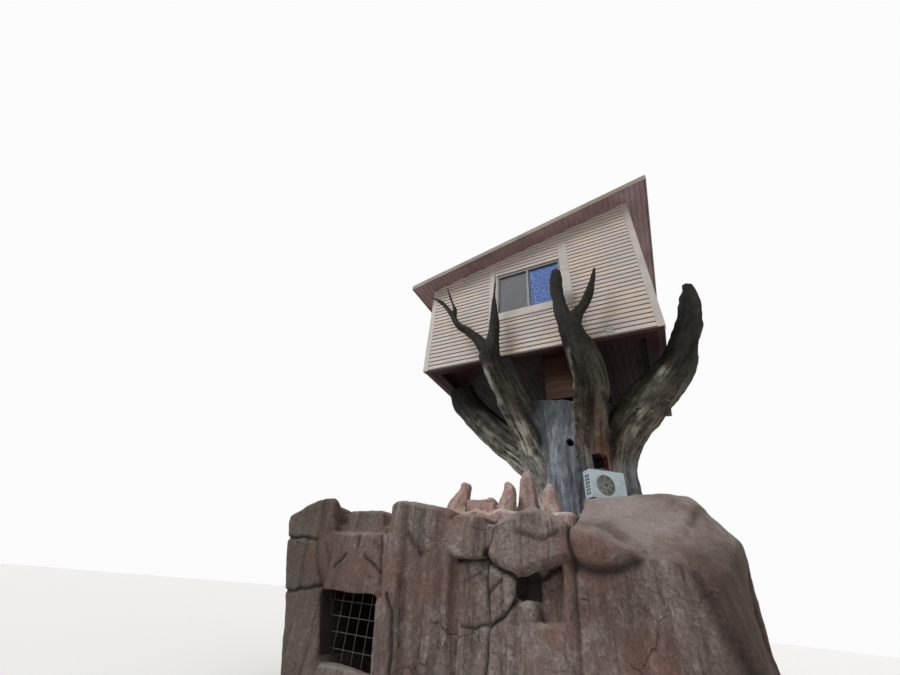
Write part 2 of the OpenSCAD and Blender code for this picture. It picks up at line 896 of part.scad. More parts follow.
module unit_case() {
    color(enamel)
        unit_frame()
            difference() {
                union() {
                    difference() {
                        translate([0, 0, foot_h])
                            cube([unit_w, unit_d, unit_h]);
                        translate([case_t, case_t, foot_h + case_t])
                            cube([unit_w - 2 * case_t, unit_d - 2 * case_t, unit_h - 2 * case_t]);
                        translate([fan_x, -cut, fan_z])
                            rotate([-90, 0, 0])
                                cylinder(r = guard_r, h = case_t + 2 * cut, $fn = 48);
                        translate([-cut, coil_y, foot_h + coil_edge])
                            cube([case_t + 2 * cut, coil_w, coil_h]);
                    }
                    for (x = [foot_x, unit_w - foot_x - foot_w])
                        translate([x, -foot_out, 0])
                            cube([foot_w, unit_d + 2 * foot_out, foot_h]);
                    translate([fan_x, motor_y, fan_z])
                        rotate([-90, 0, 0])
                            cylinder(r = motor_r, h = motor_l, $fn = 32);
                    translate([fan_x - motor_bar_w / 2, motor_y + motor_l - motor_bar_t, foot_h + case_t - cut])
                        cube([motor_bar_w, motor_bar_t, unit_h - 2 * case_t + 2 * cut]);
                }
                translate([fan_x, motor_y - cut, fan_z])
                    rotate([-90, 0, 0])
                        cylinder(r = spindle_r + spindle_gap, h = bore_l + cut, $fn = 24);
            }
}

// The grille in front of the coil on the unit's left side
module unit_coil() {
    color(wire)
        unit_frame()
            translate([coil_x, coil_y, foot_h + coil_edge])
                difference() {
                    cube([coil_t, coil_w, coil_h]);
                    for (z = [coil_bar : coil_hole_h + coil_bar : coil_h - coil_hole_h])
                        for (y = [coil_bar : coil_hole_w + coil_bar : coil_w - coil_hole_w])
                            translate([-cut, y, z])
                                cube([coil_t + 2 * cut, coil_hole_w, coil_hole_h]);
                }
}

// Rings and spokes of wire in front of the fan
module unit_guard() {
    wire_y = (guard_t - guard_wire) / 2;
    color(wire)
        unit_frame()
            translate([fan_x, 0, fan_z])
                rotate([-90, 0, 0])
                    union() {
                        for (r = [hub_r : guard_pitch : guard_r - guard_rim])
                            rotate_extrude($fn = 48)
                                translate([r, wire_y])
                                    square([guard_wire, guard_wire]);
                        difference() {
                            cylinder(r = guard_r, h = guard_t, $fn = 48);
                            translate([0, 0, -cut])
                                cylinder(r = guard_r - guard_rim, h = guard_t + 2 * cut, $fn = 48);
                        }
                        for (a = [0 : 45 : 315])
                            rotate([0, 0, a])
                                translate([hub_r, -guard_wire / 2, wire_y])
                                    cube([guard_r - hub_r - guard_rim / 2, guard_wire, guard_wire]);
                    }
}

// Hub, spindle and three pitched blades, turning in the motor's bore
module unit_fan() {
    color([0.35, 0.36, 0.37])
        unit_frame()
            translate([fan_x, fan_y, fan_z])
                rotate([-90, 0, 0])
                    union() {
                        cylinder(r = hub_r, h = fan_t, $fn = 32);
                        cylinder(r = spindle_r, h = fan_t + fan_gap + spindle_l, $fn = 24);
                        intersection() {
                            difference() {
                                cylinder(r = fan_dia / 2, h = fan_t, $fn = 48);
                                translate([0, 0, -cut])
                                    cylinder(r = hub_r - 5 * cut, h = fan_t + 2 * cut, $fn = 32);
                            }
                            union()
                                for (a = [0, 120, 240])
                                    rotate([0, 0, a])
                                        translate([fan_dia / 4, 0, fan_t / 2])
                                            rotate([blade_pitch, 0, 0])
                                                cube([fan_dia / 2 + hub_r, blade_w, blade_t], center = true);
                        }
                    }
}

rock_left_block();
rock_lintel();
rock_upper_block();
rock_jamb();
rock_sill();
rock_folds();
rock_panel();
rock_crag();
rock_mound();
rock_flank();
rock_core();
rock_back_left();
rock_back_right();
den_grille();
left_spire();
middle_spire();
tall_spire();
small_spire();
rim_rocks();
trunk();
left_front_branch();
inner_limb();
left_limb();
centre_branch();
right_limb();
back_left_branch();
back_right_branch();
shaft_box();
floor_frame();
floor_deck();
front_wall();
back_wall();
left_wall();
right_wall();
corner_boards();
window_frame();
mesh_pane();
curtain_pane();
roof_deck();
roof_sheet();
roof_fascia();
unit_case();
unit_coil();
unit_guard();
unit_fan();
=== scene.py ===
# %% [markdown]
# # A tree house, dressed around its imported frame
# A boarded cabin stands in a tree, and the tree stands on a base of rock. Both the tree and the
# rock are modelled by hand in cement render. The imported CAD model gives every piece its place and
# its size. This lesson gives the same pieces their surfaces: hewn rock, fluted bark, lapped boards.

# %% Load the frame
import math
import random

import bmesh
import bpy
import numpy as np
from mathutils import Euler, Matrix, Vector


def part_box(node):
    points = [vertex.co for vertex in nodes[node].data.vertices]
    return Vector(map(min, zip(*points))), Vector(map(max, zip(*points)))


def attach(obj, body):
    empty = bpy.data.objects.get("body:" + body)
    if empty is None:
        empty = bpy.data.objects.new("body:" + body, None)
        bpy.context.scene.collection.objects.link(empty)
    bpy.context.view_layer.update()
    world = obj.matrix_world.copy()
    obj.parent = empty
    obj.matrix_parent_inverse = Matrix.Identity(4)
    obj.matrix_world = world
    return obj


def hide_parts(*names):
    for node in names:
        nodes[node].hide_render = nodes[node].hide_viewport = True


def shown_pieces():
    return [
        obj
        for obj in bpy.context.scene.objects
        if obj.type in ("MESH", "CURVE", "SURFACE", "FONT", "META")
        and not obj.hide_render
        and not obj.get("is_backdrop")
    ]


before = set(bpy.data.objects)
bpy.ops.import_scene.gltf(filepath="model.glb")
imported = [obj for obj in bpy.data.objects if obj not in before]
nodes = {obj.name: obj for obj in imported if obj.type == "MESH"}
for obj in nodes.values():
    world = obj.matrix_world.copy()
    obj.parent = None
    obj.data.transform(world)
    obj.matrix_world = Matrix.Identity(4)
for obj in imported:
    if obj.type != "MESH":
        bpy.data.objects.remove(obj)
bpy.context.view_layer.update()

# %% [markdown]
# ## The building's own numbers
# The frame's boxes give the faces that boards and beams line up with. Only what a box can't say,
# such as the roof's slope, is repeated here. Lengths are in metres, as everywhere in the frame.

# %% Read the cabin's faces from the frame
wall_low, wall_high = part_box("front_wall")
left_x, right_x = wall_low.x, wall_high.x
front_y, wall_back_y = wall_low.y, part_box("back_wall")[1].y
cabin_z = wall_low.z
slope = 0.212
low_side_h = wall_high.z - cabin_z - slope * (right_x - left_x)
print("cabin:", round(right_x - left_x, 3), "wide,", round(wall_back_y - front_y, 3), "deep")
print("its low side:", round(low_side_h, 3), "high")

# %% [markdown]
# ## Colours and nodes
# A colour is read off a colour card as it looks, so it is written in hex and turned to the linear
# light that the shaders count in, by one function. One other function adds any shader node: it
# takes the sockets as a dictionary, where a value is a number or another node's output, and it
# gives back the new node's outputs.

# %% A hex colour in linear light, and one function for every node
def paint(code):
    channels = [int(code[i:i + 2], 16) / 255 for i in (0, 2, 4)]
    linear = [c / 12.92 if c <= 0.04045 else ((c + 0.055) / 1.055) ** 2.4 for c in channels]
    return (*linear, 1.0)


def add(material, kind, sockets=None, **settings):
    made = material.node_tree.nodes.new("ShaderNode" + kind)
    for name, value in settings.items():
        setattr(made, name, value)
    for socket, value in (sockets or {}).items():
        if isinstance(value, bpy.types.NodeSocket):
            material.node_tree.links.new(value, made.inputs[socket])
        else:
            made.inputs[socket].default_value = value
    return made.outputs


def blank(name):
    material = bpy.data.materials.new(name)
    material.use_nodes = True
    return material, material.node_tree.nodes["Principled BSDF"]


print("a middle grey, 808080, in linear light:", round(paint("808080")[0], 3))

# %% [markdown]
# ## The steps of every finish
# Render, timber and enamel weather in the same few ways, so all recipes share four steps. speckle
# gives uneven spots of a real size in millimetres, and stretch pulls them into streaks. reached
# says how far values have come from a start to an end, all at once. washes lays thin coats of
# colour over each other, and each coat names its colour, the value that places it, where it
# starts, where it is full, and its strength. dress puts colour, roughness and relief in the shader.

# %% Spots, shares, washes and relief
def speckle(material, where, size_mm, detail=4.0, roughness=0.55, stretch=None):
    if stretch:
        where = add(material, "Mapping", {0: where, 3: stretch})[0]
    sockets = {0: where, "Scale": 1000 / size_mm, "Detail": detail, "Roughness": roughness}
    return add(material, "TexNoise", sockets)[0]


def reached(material, *parts):
    shares = [add(material, "MapRange", {0: value, 1: start, 2: end})[0] for value, start, end in parts]
    whole = shares[0]
    for share in shares[1:]:
        whole = add(material, "Math", {0: whole, 1: share}, operation="MULTIPLY")[0]
    return whole


def washes(material, base, *coats):
    colour = paint(base)
    for over, value, start, end, strength in coats:
        share = add(material, "MapRange", {0: value, 1: start, 2: end, 4: strength})[0]
        over = paint(over) if isinstance(over, str) else over
        colour = add(material, "Mix", {0: share, 6: colour, 7: over}, data_type="RGBA")[2]
    return colour


def dress(material, shader, colour, rough, heights):
    value, start, end, first, last = rough
    roughness = add(material, "MapRange", {0: value, 1: start, 2: end, 3: first, 4: last})[0]
    normal = None
    for height, depth_mm in heights:
        under = {"Normal": normal} if normal is not None else {}
        sockets = {"Height": height, "Distance": depth_mm / 1000, "Strength": 1.0, **under}
        normal = add(material, "Bump", sockets)[0]
    for socket, output in (("Base Color", colour), ("Roughness", roughness), ("Normal", normal)):
        material.node_tree.links.new(output, shader.inputs[socket])
    return material


print("steps of a finish:", *(step.__name__ for step in (speckle, reached, washes, dress)))

# %% [markdown]
# ## Rendered rock
# The real rock is cement render, modelled with a trowel while wet and painted in thin washes. To
# the eye that is a matt, sandy skin: broad patches of two browns, dark runs where rain comes down,
# pale lime that has leaked out, and dust on what faces the sky. Cement is full of pores, so it
# starts at the usual IOR of 1.5 with a roughness near 0.9, and its specular level is halved.
#
# Drying render also breaks into a net of hair cracks. They are drawn as the edges of large cells,
# bent by noise, in some places only and never on top, where dust fills them.

# %% Hair cracks in dried render
def hair_cracks(material, where, facing):
    wobble_mm, cell_mm, patch_mm = 250, 500, 500
    wobble = add(material, "TexNoise", {0: where, "Scale": 1000 / wobble_mm, "Detail": 5.0})["Color"]
    sockets = {0: wobble, 1: (0.3, 0.3, 0.3), 2: where}
    bent = add(material, "VectorMath", sockets, operation="MULTIPLY_ADD")[0]
    sockets = {0: bent, "Scale": 1000 / cell_mm}
    edge = add(material, "TexVoronoi", sockets, feature="DISTANCE_TO_EDGE")["Distance"]
    patch = speckle(material, where, patch_mm, 3)
    return reached(material, (edge, 0.022, 0.005), (patch, 0.54, 0.6), (facing, 0.5, 0.25))


print("hair cracks: the edges of cells of about 500 mm")

# %% [markdown]
# The wide cracks hold dirt, and their dark also stands in for the shade inside them. The sculpting
# step below writes how deep each point lies into an attribute of dirt and painted shade, so that
# paint and shape agree. The right flank under the mound and the rock's far left end are painted
# darker, as shade. Sand grains are drawn at 9 mm, because real ones of 2 mm are too fine to show
# from here.

# %% Recipe for painted render
def rock_render(name, main, second, runs, dust, warm, run_share):
    material, shader = blank(name)
    shader.inputs["Specular IOR Level"].default_value = 0.25
    where = add(material, "TexCoord")["Object"]
    x, _, z = add(material, "SeparateXYZ", {0: where})
    facing = add(material, "SeparateXYZ", {0: add(material, "NewGeometry")["Normal"]})[2]
    dirt = add(material, "Attribute", attribute_name="dirt")["Fac"]
    patches = speckle(material, where, 900, 5)
    mottle = reached(material, (speckle(material, where, 120, 8, 0.72), 0.4, 0.6))
    spots = speckle(material, where, 45, 6, 0.7)
    rain = speckle(material, where, 150, 5, 0.6, (1.0, 1.0, 0.07))
    drips = speckle(material, where, 42, 3, 0.5, (1.0, 1.0, 0.05))
    lime = speckle(material, where, 75, 6, 0.65, (1.0, 1.0, 0.06))
    rubbed = speckle(material, where, 1300, 4, 0.6)
    sand = speckle(material, where, 9, 3, 0.7)
    hair = hair_cracks(material, where, facing)
    # Painted shade: the coat 33261D darkens the right flank under the mound, and the coat 352E23 darkens the
    # rock's far left end. The coat 1B1513 is dirt, and painted shade in the cracks and hollows.
    painted_shade_flank = reached(material, (x, 1.0, 1.7), (z, 2.5, 2.2))
    colour = washes(
        material, main, (second, patches, 0.35, 0.65, 1), (dust, mottle, 0.3, 1, 0.45),
        (runs, spots, 0.5, 0.38, 0.5), (runs, rain, 0.5, 0.68, run_share),
        (runs, drips, 0.56, 0.72, 0.5), (dust, lime, 0.56, 0.7, 0.5), (dust, facing, 0.3, 0.9, 0.75),
        (warm, rubbed, 0.46, 0.6, 0.55), ("33261D", painted_shade_flank, 0, 1, 0.65),
        ("352E23", x, -2.4, -4.3, 0.6), ("1E1714", hair, 0, 1, 0.6), ("1B1513", dirt, 0, 1, 0.93),
        ("3A2E2A", sand, 0.35, 0.7, 0.3))
    pocks = speckle(material, where, 38, 6, 0.7)
    heights = [(mottle, 10), (reached(material, (hair, 1, 0)), 6), (pocks, 9), (sand, 2)]
    return dress(material, shader, colour, (mottle, 0, 1, 0.72, 0.95), heights)


rock = rock_render("painted rock render", "7E706A", "665A56", "332A26", "A79C97", "6E4B3E", 0.8)
salmon = rock_render("salmon rock render", "B3978D", "9B837B", "5E4B45", "CEBFB8", "A37C6E", 0.5)
print("rock finishes:", rock.name, "and", salmon.name)

# %% [markdown]
# ## Bark in render
# The tree is the same cement, combed lengthwise while wet and painted: blue-grey on the front
# stems, brown with moss and lichen elsewhere. Under the floor the bark is painted darker, almost
# to black, as shade. Its comb marks give the eye long pale ridges and dark hollows. They run along
# each limb, so they can't follow the world's axes. The sculpting step stores a vector named grain
# at each point: the first two numbers go round the limb, the third runs along it, all in metres.
# Noise that is stretched along the third number gives streaks that bend with the limb and have no
# seam. Three more attributes place what hangs on the shape: dirt and painted shade in the hollows,
# the creases and under the floor, rust under the recess, and pale runs that are partly lime and
# partly painted highlight.

# %% Recipe for combed bark
def bark_render(name):
    material, shader = blank(name)
    shader.inputs["Specular IOR Level"].default_value = 0.2
    where = add(material, "TexCoord")["Object"]
    x, _, z = add(material, "SeparateXYZ", {0: where})
    grain = add(material, "Attribute", attribute_name="grain")["Vector"]
    marks = ("stem", "dirt", "rust", "pale")
    stem, dirt, rust, pale = (add(material, "Attribute", attribute_name=mark)["Fac"] for mark in marks)
    comb = speckle(material, grain, 95, 8, 0.7, (1.0, 1.0, 0.14))
    fine = speckle(material, grain, 30, 6, 0.65, (1.0, 1.0, 0.2))
    patches = speckle(material, where, 420, 6, 0.62)
    moss = speckle(material, where, 240, 7, 0.7)
    lichen = speckle(material, where, 95, 8, 0.72)
    # Painted shade: shaded darkens the top of the painted trunk, and the coat 100E0A darkens the rough bark
    # with height. The pale coat AFACA3 is lime in some runs and painted highlight in others, and the last
    # coat, 161311, is dirt and painted shade.
    shaded = reached(material, (z, 4.4, 5.0), (x, -0.9, -0.6))
    lime_and_highlight = reached(material, (pale, 0, 1), (comb, 0.41, 0.53))
    rusty = reached(material, (rust, 0, 1), (fine, 0.35, 0.6))
    painted = washes(
        material, "656D77", ("858C96", patches, 0.4, 0.6, 1), ("A9ADB0", comb, 0.52, 0.64, 0.8),
        ("3C3F44", comb, 0.48, 0.36, 0.7), ("2C302F", shaded, 0, 1, 0.8))
    colour = washes(
        material, "473F37", ("5B534A", patches, 0.4, 0.6, 1), ("3B3623", moss, 0.5, 0.62, 0.8),
        ("857E72", comb, 0.5, 0.64, 0.65), ("1E1B18", comb, 0.5, 0.38, 0.85),
        ("7F7A69", lichen, 0.54, 0.62, 0.6), ("100E0A", z, 4.6, 5.7, 0.9), (painted, stem, 0, 1, 1),
        ("AFACA3", lime_and_highlight, 0, 1, 1), ("2C2926", fine, 0.52, 0.7, 0.55), ("65351F", rusty, 0, 1, 1),
        ("161311", dirt, 0, 1, 0.85))
    heights = [(comb, 18), (fine, 8), (speckle(material, where, 14, 4, 0.65), 2.5)]
    return dress(material, shader, colour, (comb, 0.3, 0.7, 0.95, 0.7), heights)


bark = bark_render("combed bark render")
print("bark finish:", bark.name)

# %% [markdown]
# The recess and the knot hole in the trunk are bare render inside, painted near-black as the shade
# that fills them, which the eye takes for depth. Only the recess's right cheek catches light and
# shows orange rust.

# %% Recipe for the recess in painted shade
def recess_render(name):
    material, shader = blank(name)
    where = add(material, "TexCoord")["Object"]
    cheek = add(material, "SeparateXYZ", {0: where})[0]
    shade_mottle = reached(material, (speckle(material, where, 60, 6, 0.7), 0.4, 0.65))
    # Near-black as painted shade, mottled a little, with orange rust on the right cheek.
    colour = washes(material, "0F0D0C", ("1C1815", shade_mottle, 0, 1, 1), ("8A4528", cheek, 0.47, 0.5, 0.9))
    return dress(material, shader, colour, (shade_mottle, 0, 1, 0.8, 0.95), [(shade_mottle, 3)])


dark_recess = recess_render("recess render in painted shade")
print("recess finish:", dark_recess.name)

# %% [markdown]
# ## Boards, stain and paint
# The real boards are sawn softwood. The cladding is pale with printed or washed grain, the trim is
# painted, and the roof, floor and shaft are stained or oiled. The stains under the floor, on the
# wall's edge and on the shaft are also darkened as painted shade. Sawing leaves streaks along the
# board, 22 to 34 mm wide with finer ones between them, and stain lets them show, while paint
# nearly hides them. Weathered wood starts at a roughness of 0.6 and an IOR of 1.5, and the dark
# stains get a lower specular level, because the oil in them has dried out. Each finish names two
# wood colours and a weathered one, the grain's width, how far it is weathered, its roughness and
# the depth of its grain, with the widths and depths in millimetres.
#
# Every board carries its own flat coordinates: metres along it and metres across it, shifted by a
# different amount for each board, so that no two boards show the same grain. A value named tone
# makes one board a little paler than the next, and one named gap darkens its underside as painted
# shadow.

# %% Recipe for timber
def timber(name, main, second, weather, grain_mm, weather_share, gloss, depth_mm, shine=0.5):
    material, shader = blank(name)
    shader.inputs["Specular IOR Level"].default_value = shine
    flat = add(material, "UVMap", uv_map="board")[0]
    where = add(material, "TexCoord")["Object"]
    tone, gap = (add(material, "Attribute", attribute_name=mark)["Fac"] for mark in ("tone", "gap"))
    grain = speckle(material, flat, grain_mm, 6, 0.6, (0.05, 1.0, 1.0))
    streak = speckle(material, flat, grain_mm / 3, 4, 0.6, (0.03, 1.0, 1.0))
    worn = speckle(material, where, 700, 5, 0.6)
    # The coat 2A2320 on gap paints the shadow of the recessed strip at each board's foot.
    colour = washes(
        material, main, (second, grain, 0.35, 0.65, 1), (weather, worn, 0.42, 0.66, weather_share),
        (second, tone, 0, 1, 0.45), ("3A2C24", streak, 0.6, 0.75, 0.3), ("2A2320", gap, 0, 1, 0.85))
    rough = (grain, 0.3, 0.7, gloss - 0.12, gloss + 0.12)
    return dress(material, shader, colour, rough, [(grain, depth_mm), (streak, depth_mm / 2)])


cladding = timber("printed cladding boards", "B4ABA6", "9D948F", "C7AD92", 22, 0.65, 0.6, 0.8)
trim = timber("painted trim boards", "ADA69F", "9A938D", "857D77", 30, 0.5, 0.55, 0.5)
stain = timber("red-brown stain on the roof boards", "84696B", "6D5455", "9A8082", 34, 0.5, 0.6, 1.2)
# A darker copy of the stain, as painted shade under the floor.
shade_stain = timber("stain under the floor, darkened as painted shade", "2C1418", "200E11", "3E2226", 34, 0.5, 0.7, 1.2, 0.15)
# A darker copy of the stain, as painted shade on the wall's edge under the roof.
wall_shade_stain = timber("red-brown stain on the wall's edge", "432C2C", "322021", "4F3838", 34, 0.5, 0.6,
                    1.2, 0.2)
# The shaft's oil is darkened as painted shade under the floor.
oil_and_painted_shade = timber("shaft boards in oil, darkened as painted shade", "3A2214", "2A170E", "4C3120", 30, 0.5, 0.6, 1.2, 0.15)
weathered = timber("weathered fascia boards", "7D756D", "665E57", "91897F", 30, 0.5, 0.7, 1.2)
print("timber finishes:", *(wood.name for wood in (cladding, trim, stain, shade_stain)), sep="\n  ")
print("and:", *(wood.name for wood in (wall_shade_stain, oil_and_painted_shade, weathered)), sep="\n  ")

# %% [markdown]
# ## Sheet, enamel and wire
# The outdoor unit's case is steel with baked enamel, even and glossy, with rain streaks on it. Its
# blades are moulded plastic and its guard is wire dipped in a pale coating. The sashes are anodised
# aluminium, the roof is coated sheet, and the den's grille is galvanised wire that rusts to a dull
# brown. They differ in gloss, metal and the size of their dirt, so one recipe takes these as
# numbers. The two bare metals have a metallic of 0.5 or 0.6 and not 1, because a film of oxide and
# dirt covers them.

# %% Recipe for coated metal and plastic
def coated(name, main, dust, metal, gloss, dust_mm, dust_share):
    material, shader = blank(name)
    shader.inputs["Metallic"].default_value = metal
    where = add(material, "TexCoord")["Object"]
    film = speckle(material, where, dust_mm, 6, 0.65)
    drips = speckle(material, where, 30, 4, 0.6, (1.0, 1.0, 0.08))
    colour = washes(
        material, main, (dust, film, 0.42, 0.7, dust_share), (dust, drips, 0.58, 0.75, dust_share))
    rough = (film, 0.42, 0.7, gloss, gloss + 0.3 * dust_share)
    return dress(material, shader, colour, rough, [(speckle(material, where, 12, 3), 0.3)])


enamel = coated("white enamelled sheet", "ABBBC3", "7C837D", metal=0.0, gloss=0.35,
                dust_mm=160, dust_share=0.5)
fan_grey = coated("grey moulded blades", "5C5E5E", "6B6A62", metal=0.0, gloss=0.45,
                  dust_mm=70, dust_share=0.4)
pale_wire = coated("pale coated guard wire", "C2BDB3", "8A867B", metal=0.1, gloss=0.45,
                   dust_mm=60, dust_share=0.4)
zinc = coated("rusting galvanised wire", "55524C", "3F342B", metal=0.6, gloss=0.6,
              dust_mm=50, dust_share=0.6)
aluminium = coated("dark anodised aluminium", "4A4B4D", "7B7975", metal=0.5, gloss=0.4,
                   dust_mm=200, dust_share=0.4)
roof_metal = coated("coated roof sheet", "8B8C8C", "5E5A54", metal=0.4, gloss=0.5,
                    dust_mm=400, dust_share=0.6)
print("metal and plastic:", enamel.name, fan_grey.name, pale_wire.name, sep="\n  ")
print("and:", zinc.name, aluminium.name, roof_metal.name, sep="\n  ")

# %% [markdown]
# ## The window's two panes
# The left half holds insect mesh, woven from thread with a dull coating. One wave each way makes
# the weave, and the brighter of the two is the thread on top. Real mesh has a thread every 1.5 mm,
# too fine to show, so it is drawn coarser, with one about every 3.5 mm. A wave of scale 1 has 20
# radians to a metre. What reaches the eye is a dark, soft grey with dust on it.

# %% Recipe for insect mesh
def mesh_weave(name, thread_mm=3.49):
    material, shader = blank(name)
    where = add(material, "TexCoord")["Object"]
    wave = {0: where, "Scale": math.tau / 20 / (thread_mm / 1000), "Distortion": 0.4}
    warp, weft = (add(material, "TexWave", wave, bands_direction=way)["Fac"] for way in ("X", "Z"))
    threads = add(material, "Math", {0: warp, 1: weft}, operation="MAXIMUM")[0]
    dust = speckle(material, where, 240, 6, 0.6)
    colour = washes(material, "2D3236", ("4A4E53", threads, 0.55, 0.85, 1), ("7A7672", dust, 0.4, 0.7, 0.6))
    return dress(material, shader, colour, (dust, 0.4, 0.7, 0.6, 0.78), [(threads, 0.4)])


insect_mesh = mesh_weave("woven insect mesh")
print("left pane:", insect_mesh.name)

# %% [markdown]
# The right half is closed by a blue plastic film, printed with small rings and lines. Cells of
# 100 mm stand for the print: a sine of the distance from each cell's middle draws a ring every
# 39 mm, and a pale line runs where two cells meet. The film is smooth but lies in folds, so its
# gloss is soft and uneven, and the folds are painted as lighter and darker patches of light and
# shade.

# %% Recipe for patterned film
def patterned_film(name, cell_mm=100, radians_per_cell=16.0):
    material, shader = blank(name)
    shader.inputs["Specular IOR Level"].default_value = 0.25
    where = add(material, "TexCoord")["Object"]
    cells = {0: where, "Scale": 1000 / cell_mm}
    middle = add(material, "TexVoronoi", cells, feature="F1")["Distance"]
    edge = add(material, "TexVoronoi", cells, feature="DISTANCE_TO_EDGE")["Distance"]
    turns = add(material, "Math", {0: middle, 1: radians_per_cell}, operation="MULTIPLY")[0]
    rings = add(material, "Math", {0: turns}, operation="SINE")[0]
    folds = speckle(material, where, 300, 4)
    # The coat 3A5A9C on the folds paints their light and shade as lighter and darker patches.
    colour = washes(material, "27437F", ("3A5A9C", folds, 0.35, 0.65, 1), ("172755", rings, 0.5, 0.95, 0.8),
                    ("6F8AB8", edge, 0.1, 0.03, 0.6))
    return dress(material, shader, colour, (folds, 0.35, 0.65, 0.45, 0.6), [(rings, 0.2)])


blue_film = patterned_film("patterned blue film")
print("right pane:", blue_film.name, "and all finishes so far:", len(bpy.data.materials))

# %% [markdown]
# ## Noise for hand-modelled relief
# A trowel leaves lumps of many sizes. The same is had from lattice noise: random numbers sit on a
# grid, and every point takes a smooth mean of the eight round it. Sums of such noise at smaller
# and smaller sizes give lumps on lumps, and noise folded at zero gives ridges. Numpy does a whole
# skin of points at once.

# %% Lumps, layers of lumps, and ridges
TABLE = 8192
STRIDES = np.array((7919, 104729, 1299709))


def lumps(points, size, seed):
    table = np.random.default_rng(seed).uniform(-1, 1, TABLE)
    scaled = points / np.asarray(size)
    corner = np.floor(scaled).astype(np.int64)
    part = scaled - corner
    part = part * part * (3 - 2 * part)
    total = np.zeros(len(points))
    for step in np.ndindex(2, 2, 2):
        key = ((corner + np.array(step)) * STRIDES).sum(axis=1) % TABLE
        total += table[key] * np.prod(np.where(step, part, 1 - part), axis=1)
    return total


def layered(points, size, seed, octaves=3):
    size = np.asarray(size, float)
    return sum(lumps(points, size / 2 ** k, seed + k) / 2 ** k for k in range(octaves))


def ridged(points, size, seed):
    return 1 - 2 * np.abs(lumps(points, size, seed))


print("noise at the origin and half a metre on:", lumps(np.array([[0, 0, 0], [0.5, 0, 0]]), 1, 1).round(3))

# %% [markdown]
# ## Skins
# A skin is one closed surface over any number of plain solids. Blender's voxel remesh melts them
# together on a fine grid, and a few smoothing passes round off what the grid and the facets leave.
# It suits render, which is one coat over whatever is inside.

# %% Make a skin
def as_object(name, mesh, material):
    made = bpy.data.objects.new(name, mesh)
    bpy.context.scene.collection.objects.link(made)
    mesh.materials.clear()
    mesh.materials.append(material)
    return made


def applied(made):
    shape = made.evaluated_get(bpy.context.evaluated_depsgraph_get())
    mesh = bpy.data.meshes.new_from_object(shape)
    made.modifiers.clear()
    made.data = mesh
    return mesh


def skin(name, meshes, voxel, rounds, material):
    joined = bmesh.new()
    for mesh in meshes:
        joined.from_mesh(mesh)
    base = bpy.data.meshes.new(name)
    joined.to_mesh(base)
    joined.free()
    made = as_object(name, base, material)
    melt = made.modifiers.new("melt", "REMESH")
    melt.mode = "VOXEL"
    melt.voxel_size = voxel
    ease = made.modifiers.new("ease", "SMOOTH")
    ease.factor = 0.5
    ease.iterations = rounds
    melted = applied(made)
    melted.name = name
    melted.materials.clear()
    melted.materials.append(material)
    melted.polygons.foreach_set("use_smooth", [True] * len(melted.polygons))
    return made


print("stones that will be melted into skins:", sum(name.startswith("rock_") for name in nodes))

# %% [markdown]
# The sculpting moves a skin's points, so it reads them with their outward directions, and writes
# them back together with any values that the materials look for, such as dirt.

# %% Read and write a skin's points
def read_points(mesh):
    at = np.zeros(len(mesh.vertices) * 3)
    out = np.zeros(len(mesh.vertices) * 3)
    mesh.vertices.foreach_get("co", at)
    mesh.vertices.foreach_get("normal", out)
    return at.reshape(-1, 3), out.reshape(-1, 3)


def write_points(mesh, at, **values):
    mesh.vertices.foreach_set("co", at.ravel())
    for name, value in values.items():
        kind, field = ("FLOAT", "value") if value.ndim == 1 else ("FLOAT_VECTOR", "vector")
        layer = mesh.attributes.new(name, kind, "POINT")
        layer.data.foreach_set(field, value.astype(np.float32).ravel())
    mesh.update()


print("points of the frame's mound before it is hewn:", len(read_points(nodes["rock_mound"].data)[0]))

# %% [markdown]
# ## Cracks and creases
# Each crack is a short path of points on the rock's front, as x and height. A point of the skin
# that lies near the path is pushed in, deepest on the path itself. A wide, shallow path makes a
# fold, and a negative depth makes a ridge. The paths are looked up from slightly shaken places,
# so that no crack runs straight. Only points that face the front are touched.

# %% Distance to a path, and the grooves
FRONT_ONLY = -1.3
SHAKE = 0.022


def path_distance(at, path):
    flat = at[:, [0, 2]]
    nearest = np.full(len(at), 9.0)
    for a, b in zip(np.array(path[:-1], float), np.array(path[1:], float)):
        along = np.clip(((flat - a) @ (b - a)) / ((b - a) @ (b - a)), 0, 1)
        nearest = np.minimum(nearest, np.linalg.norm(flat - a - along[:, None] * (b - a), axis=1))
    return nearest


def grooves(at, out, cracks):
    depth, dirt = np.zeros(len(at)), np.zeros(len(at))
    front = np.clip(-out[:, 1] * 2, 0, 1) * (at[:, 1] < FRONT_ONLY)
    shaken = at + np.column_stack([lumps(at, 0.16, 5), np.zeros(len(at)), lumps(at, 0.16, 6)]) * SHAKE
    for path, width, deep in cracks:
        part = deep * np.exp(-(path_distance(shaken, path) / width) ** 2) * front
        depth += part
        # A crack's dirt also stands in for the shade inside it.
        dirt += part * min(1, 0.04 / width)
    return depth, dirt


print("a point 3 m right of a crack 4 m high:", path_distance(np.array([[3, 0, 2]]), [(0, 0), (0, 4)]))

# %% [markdown]
# ## Hewing
# Hewing takes one or more stones of the frame, melts them into a skin and moves its points along
# their own directions: out and in by lumps of two sizes, and in by the cracks. The den and the
# hollow under the boulder are painted dark as shade, so that they look as deep as they are. Each of
# the two is a box of points, given by its lowest and highest corner.

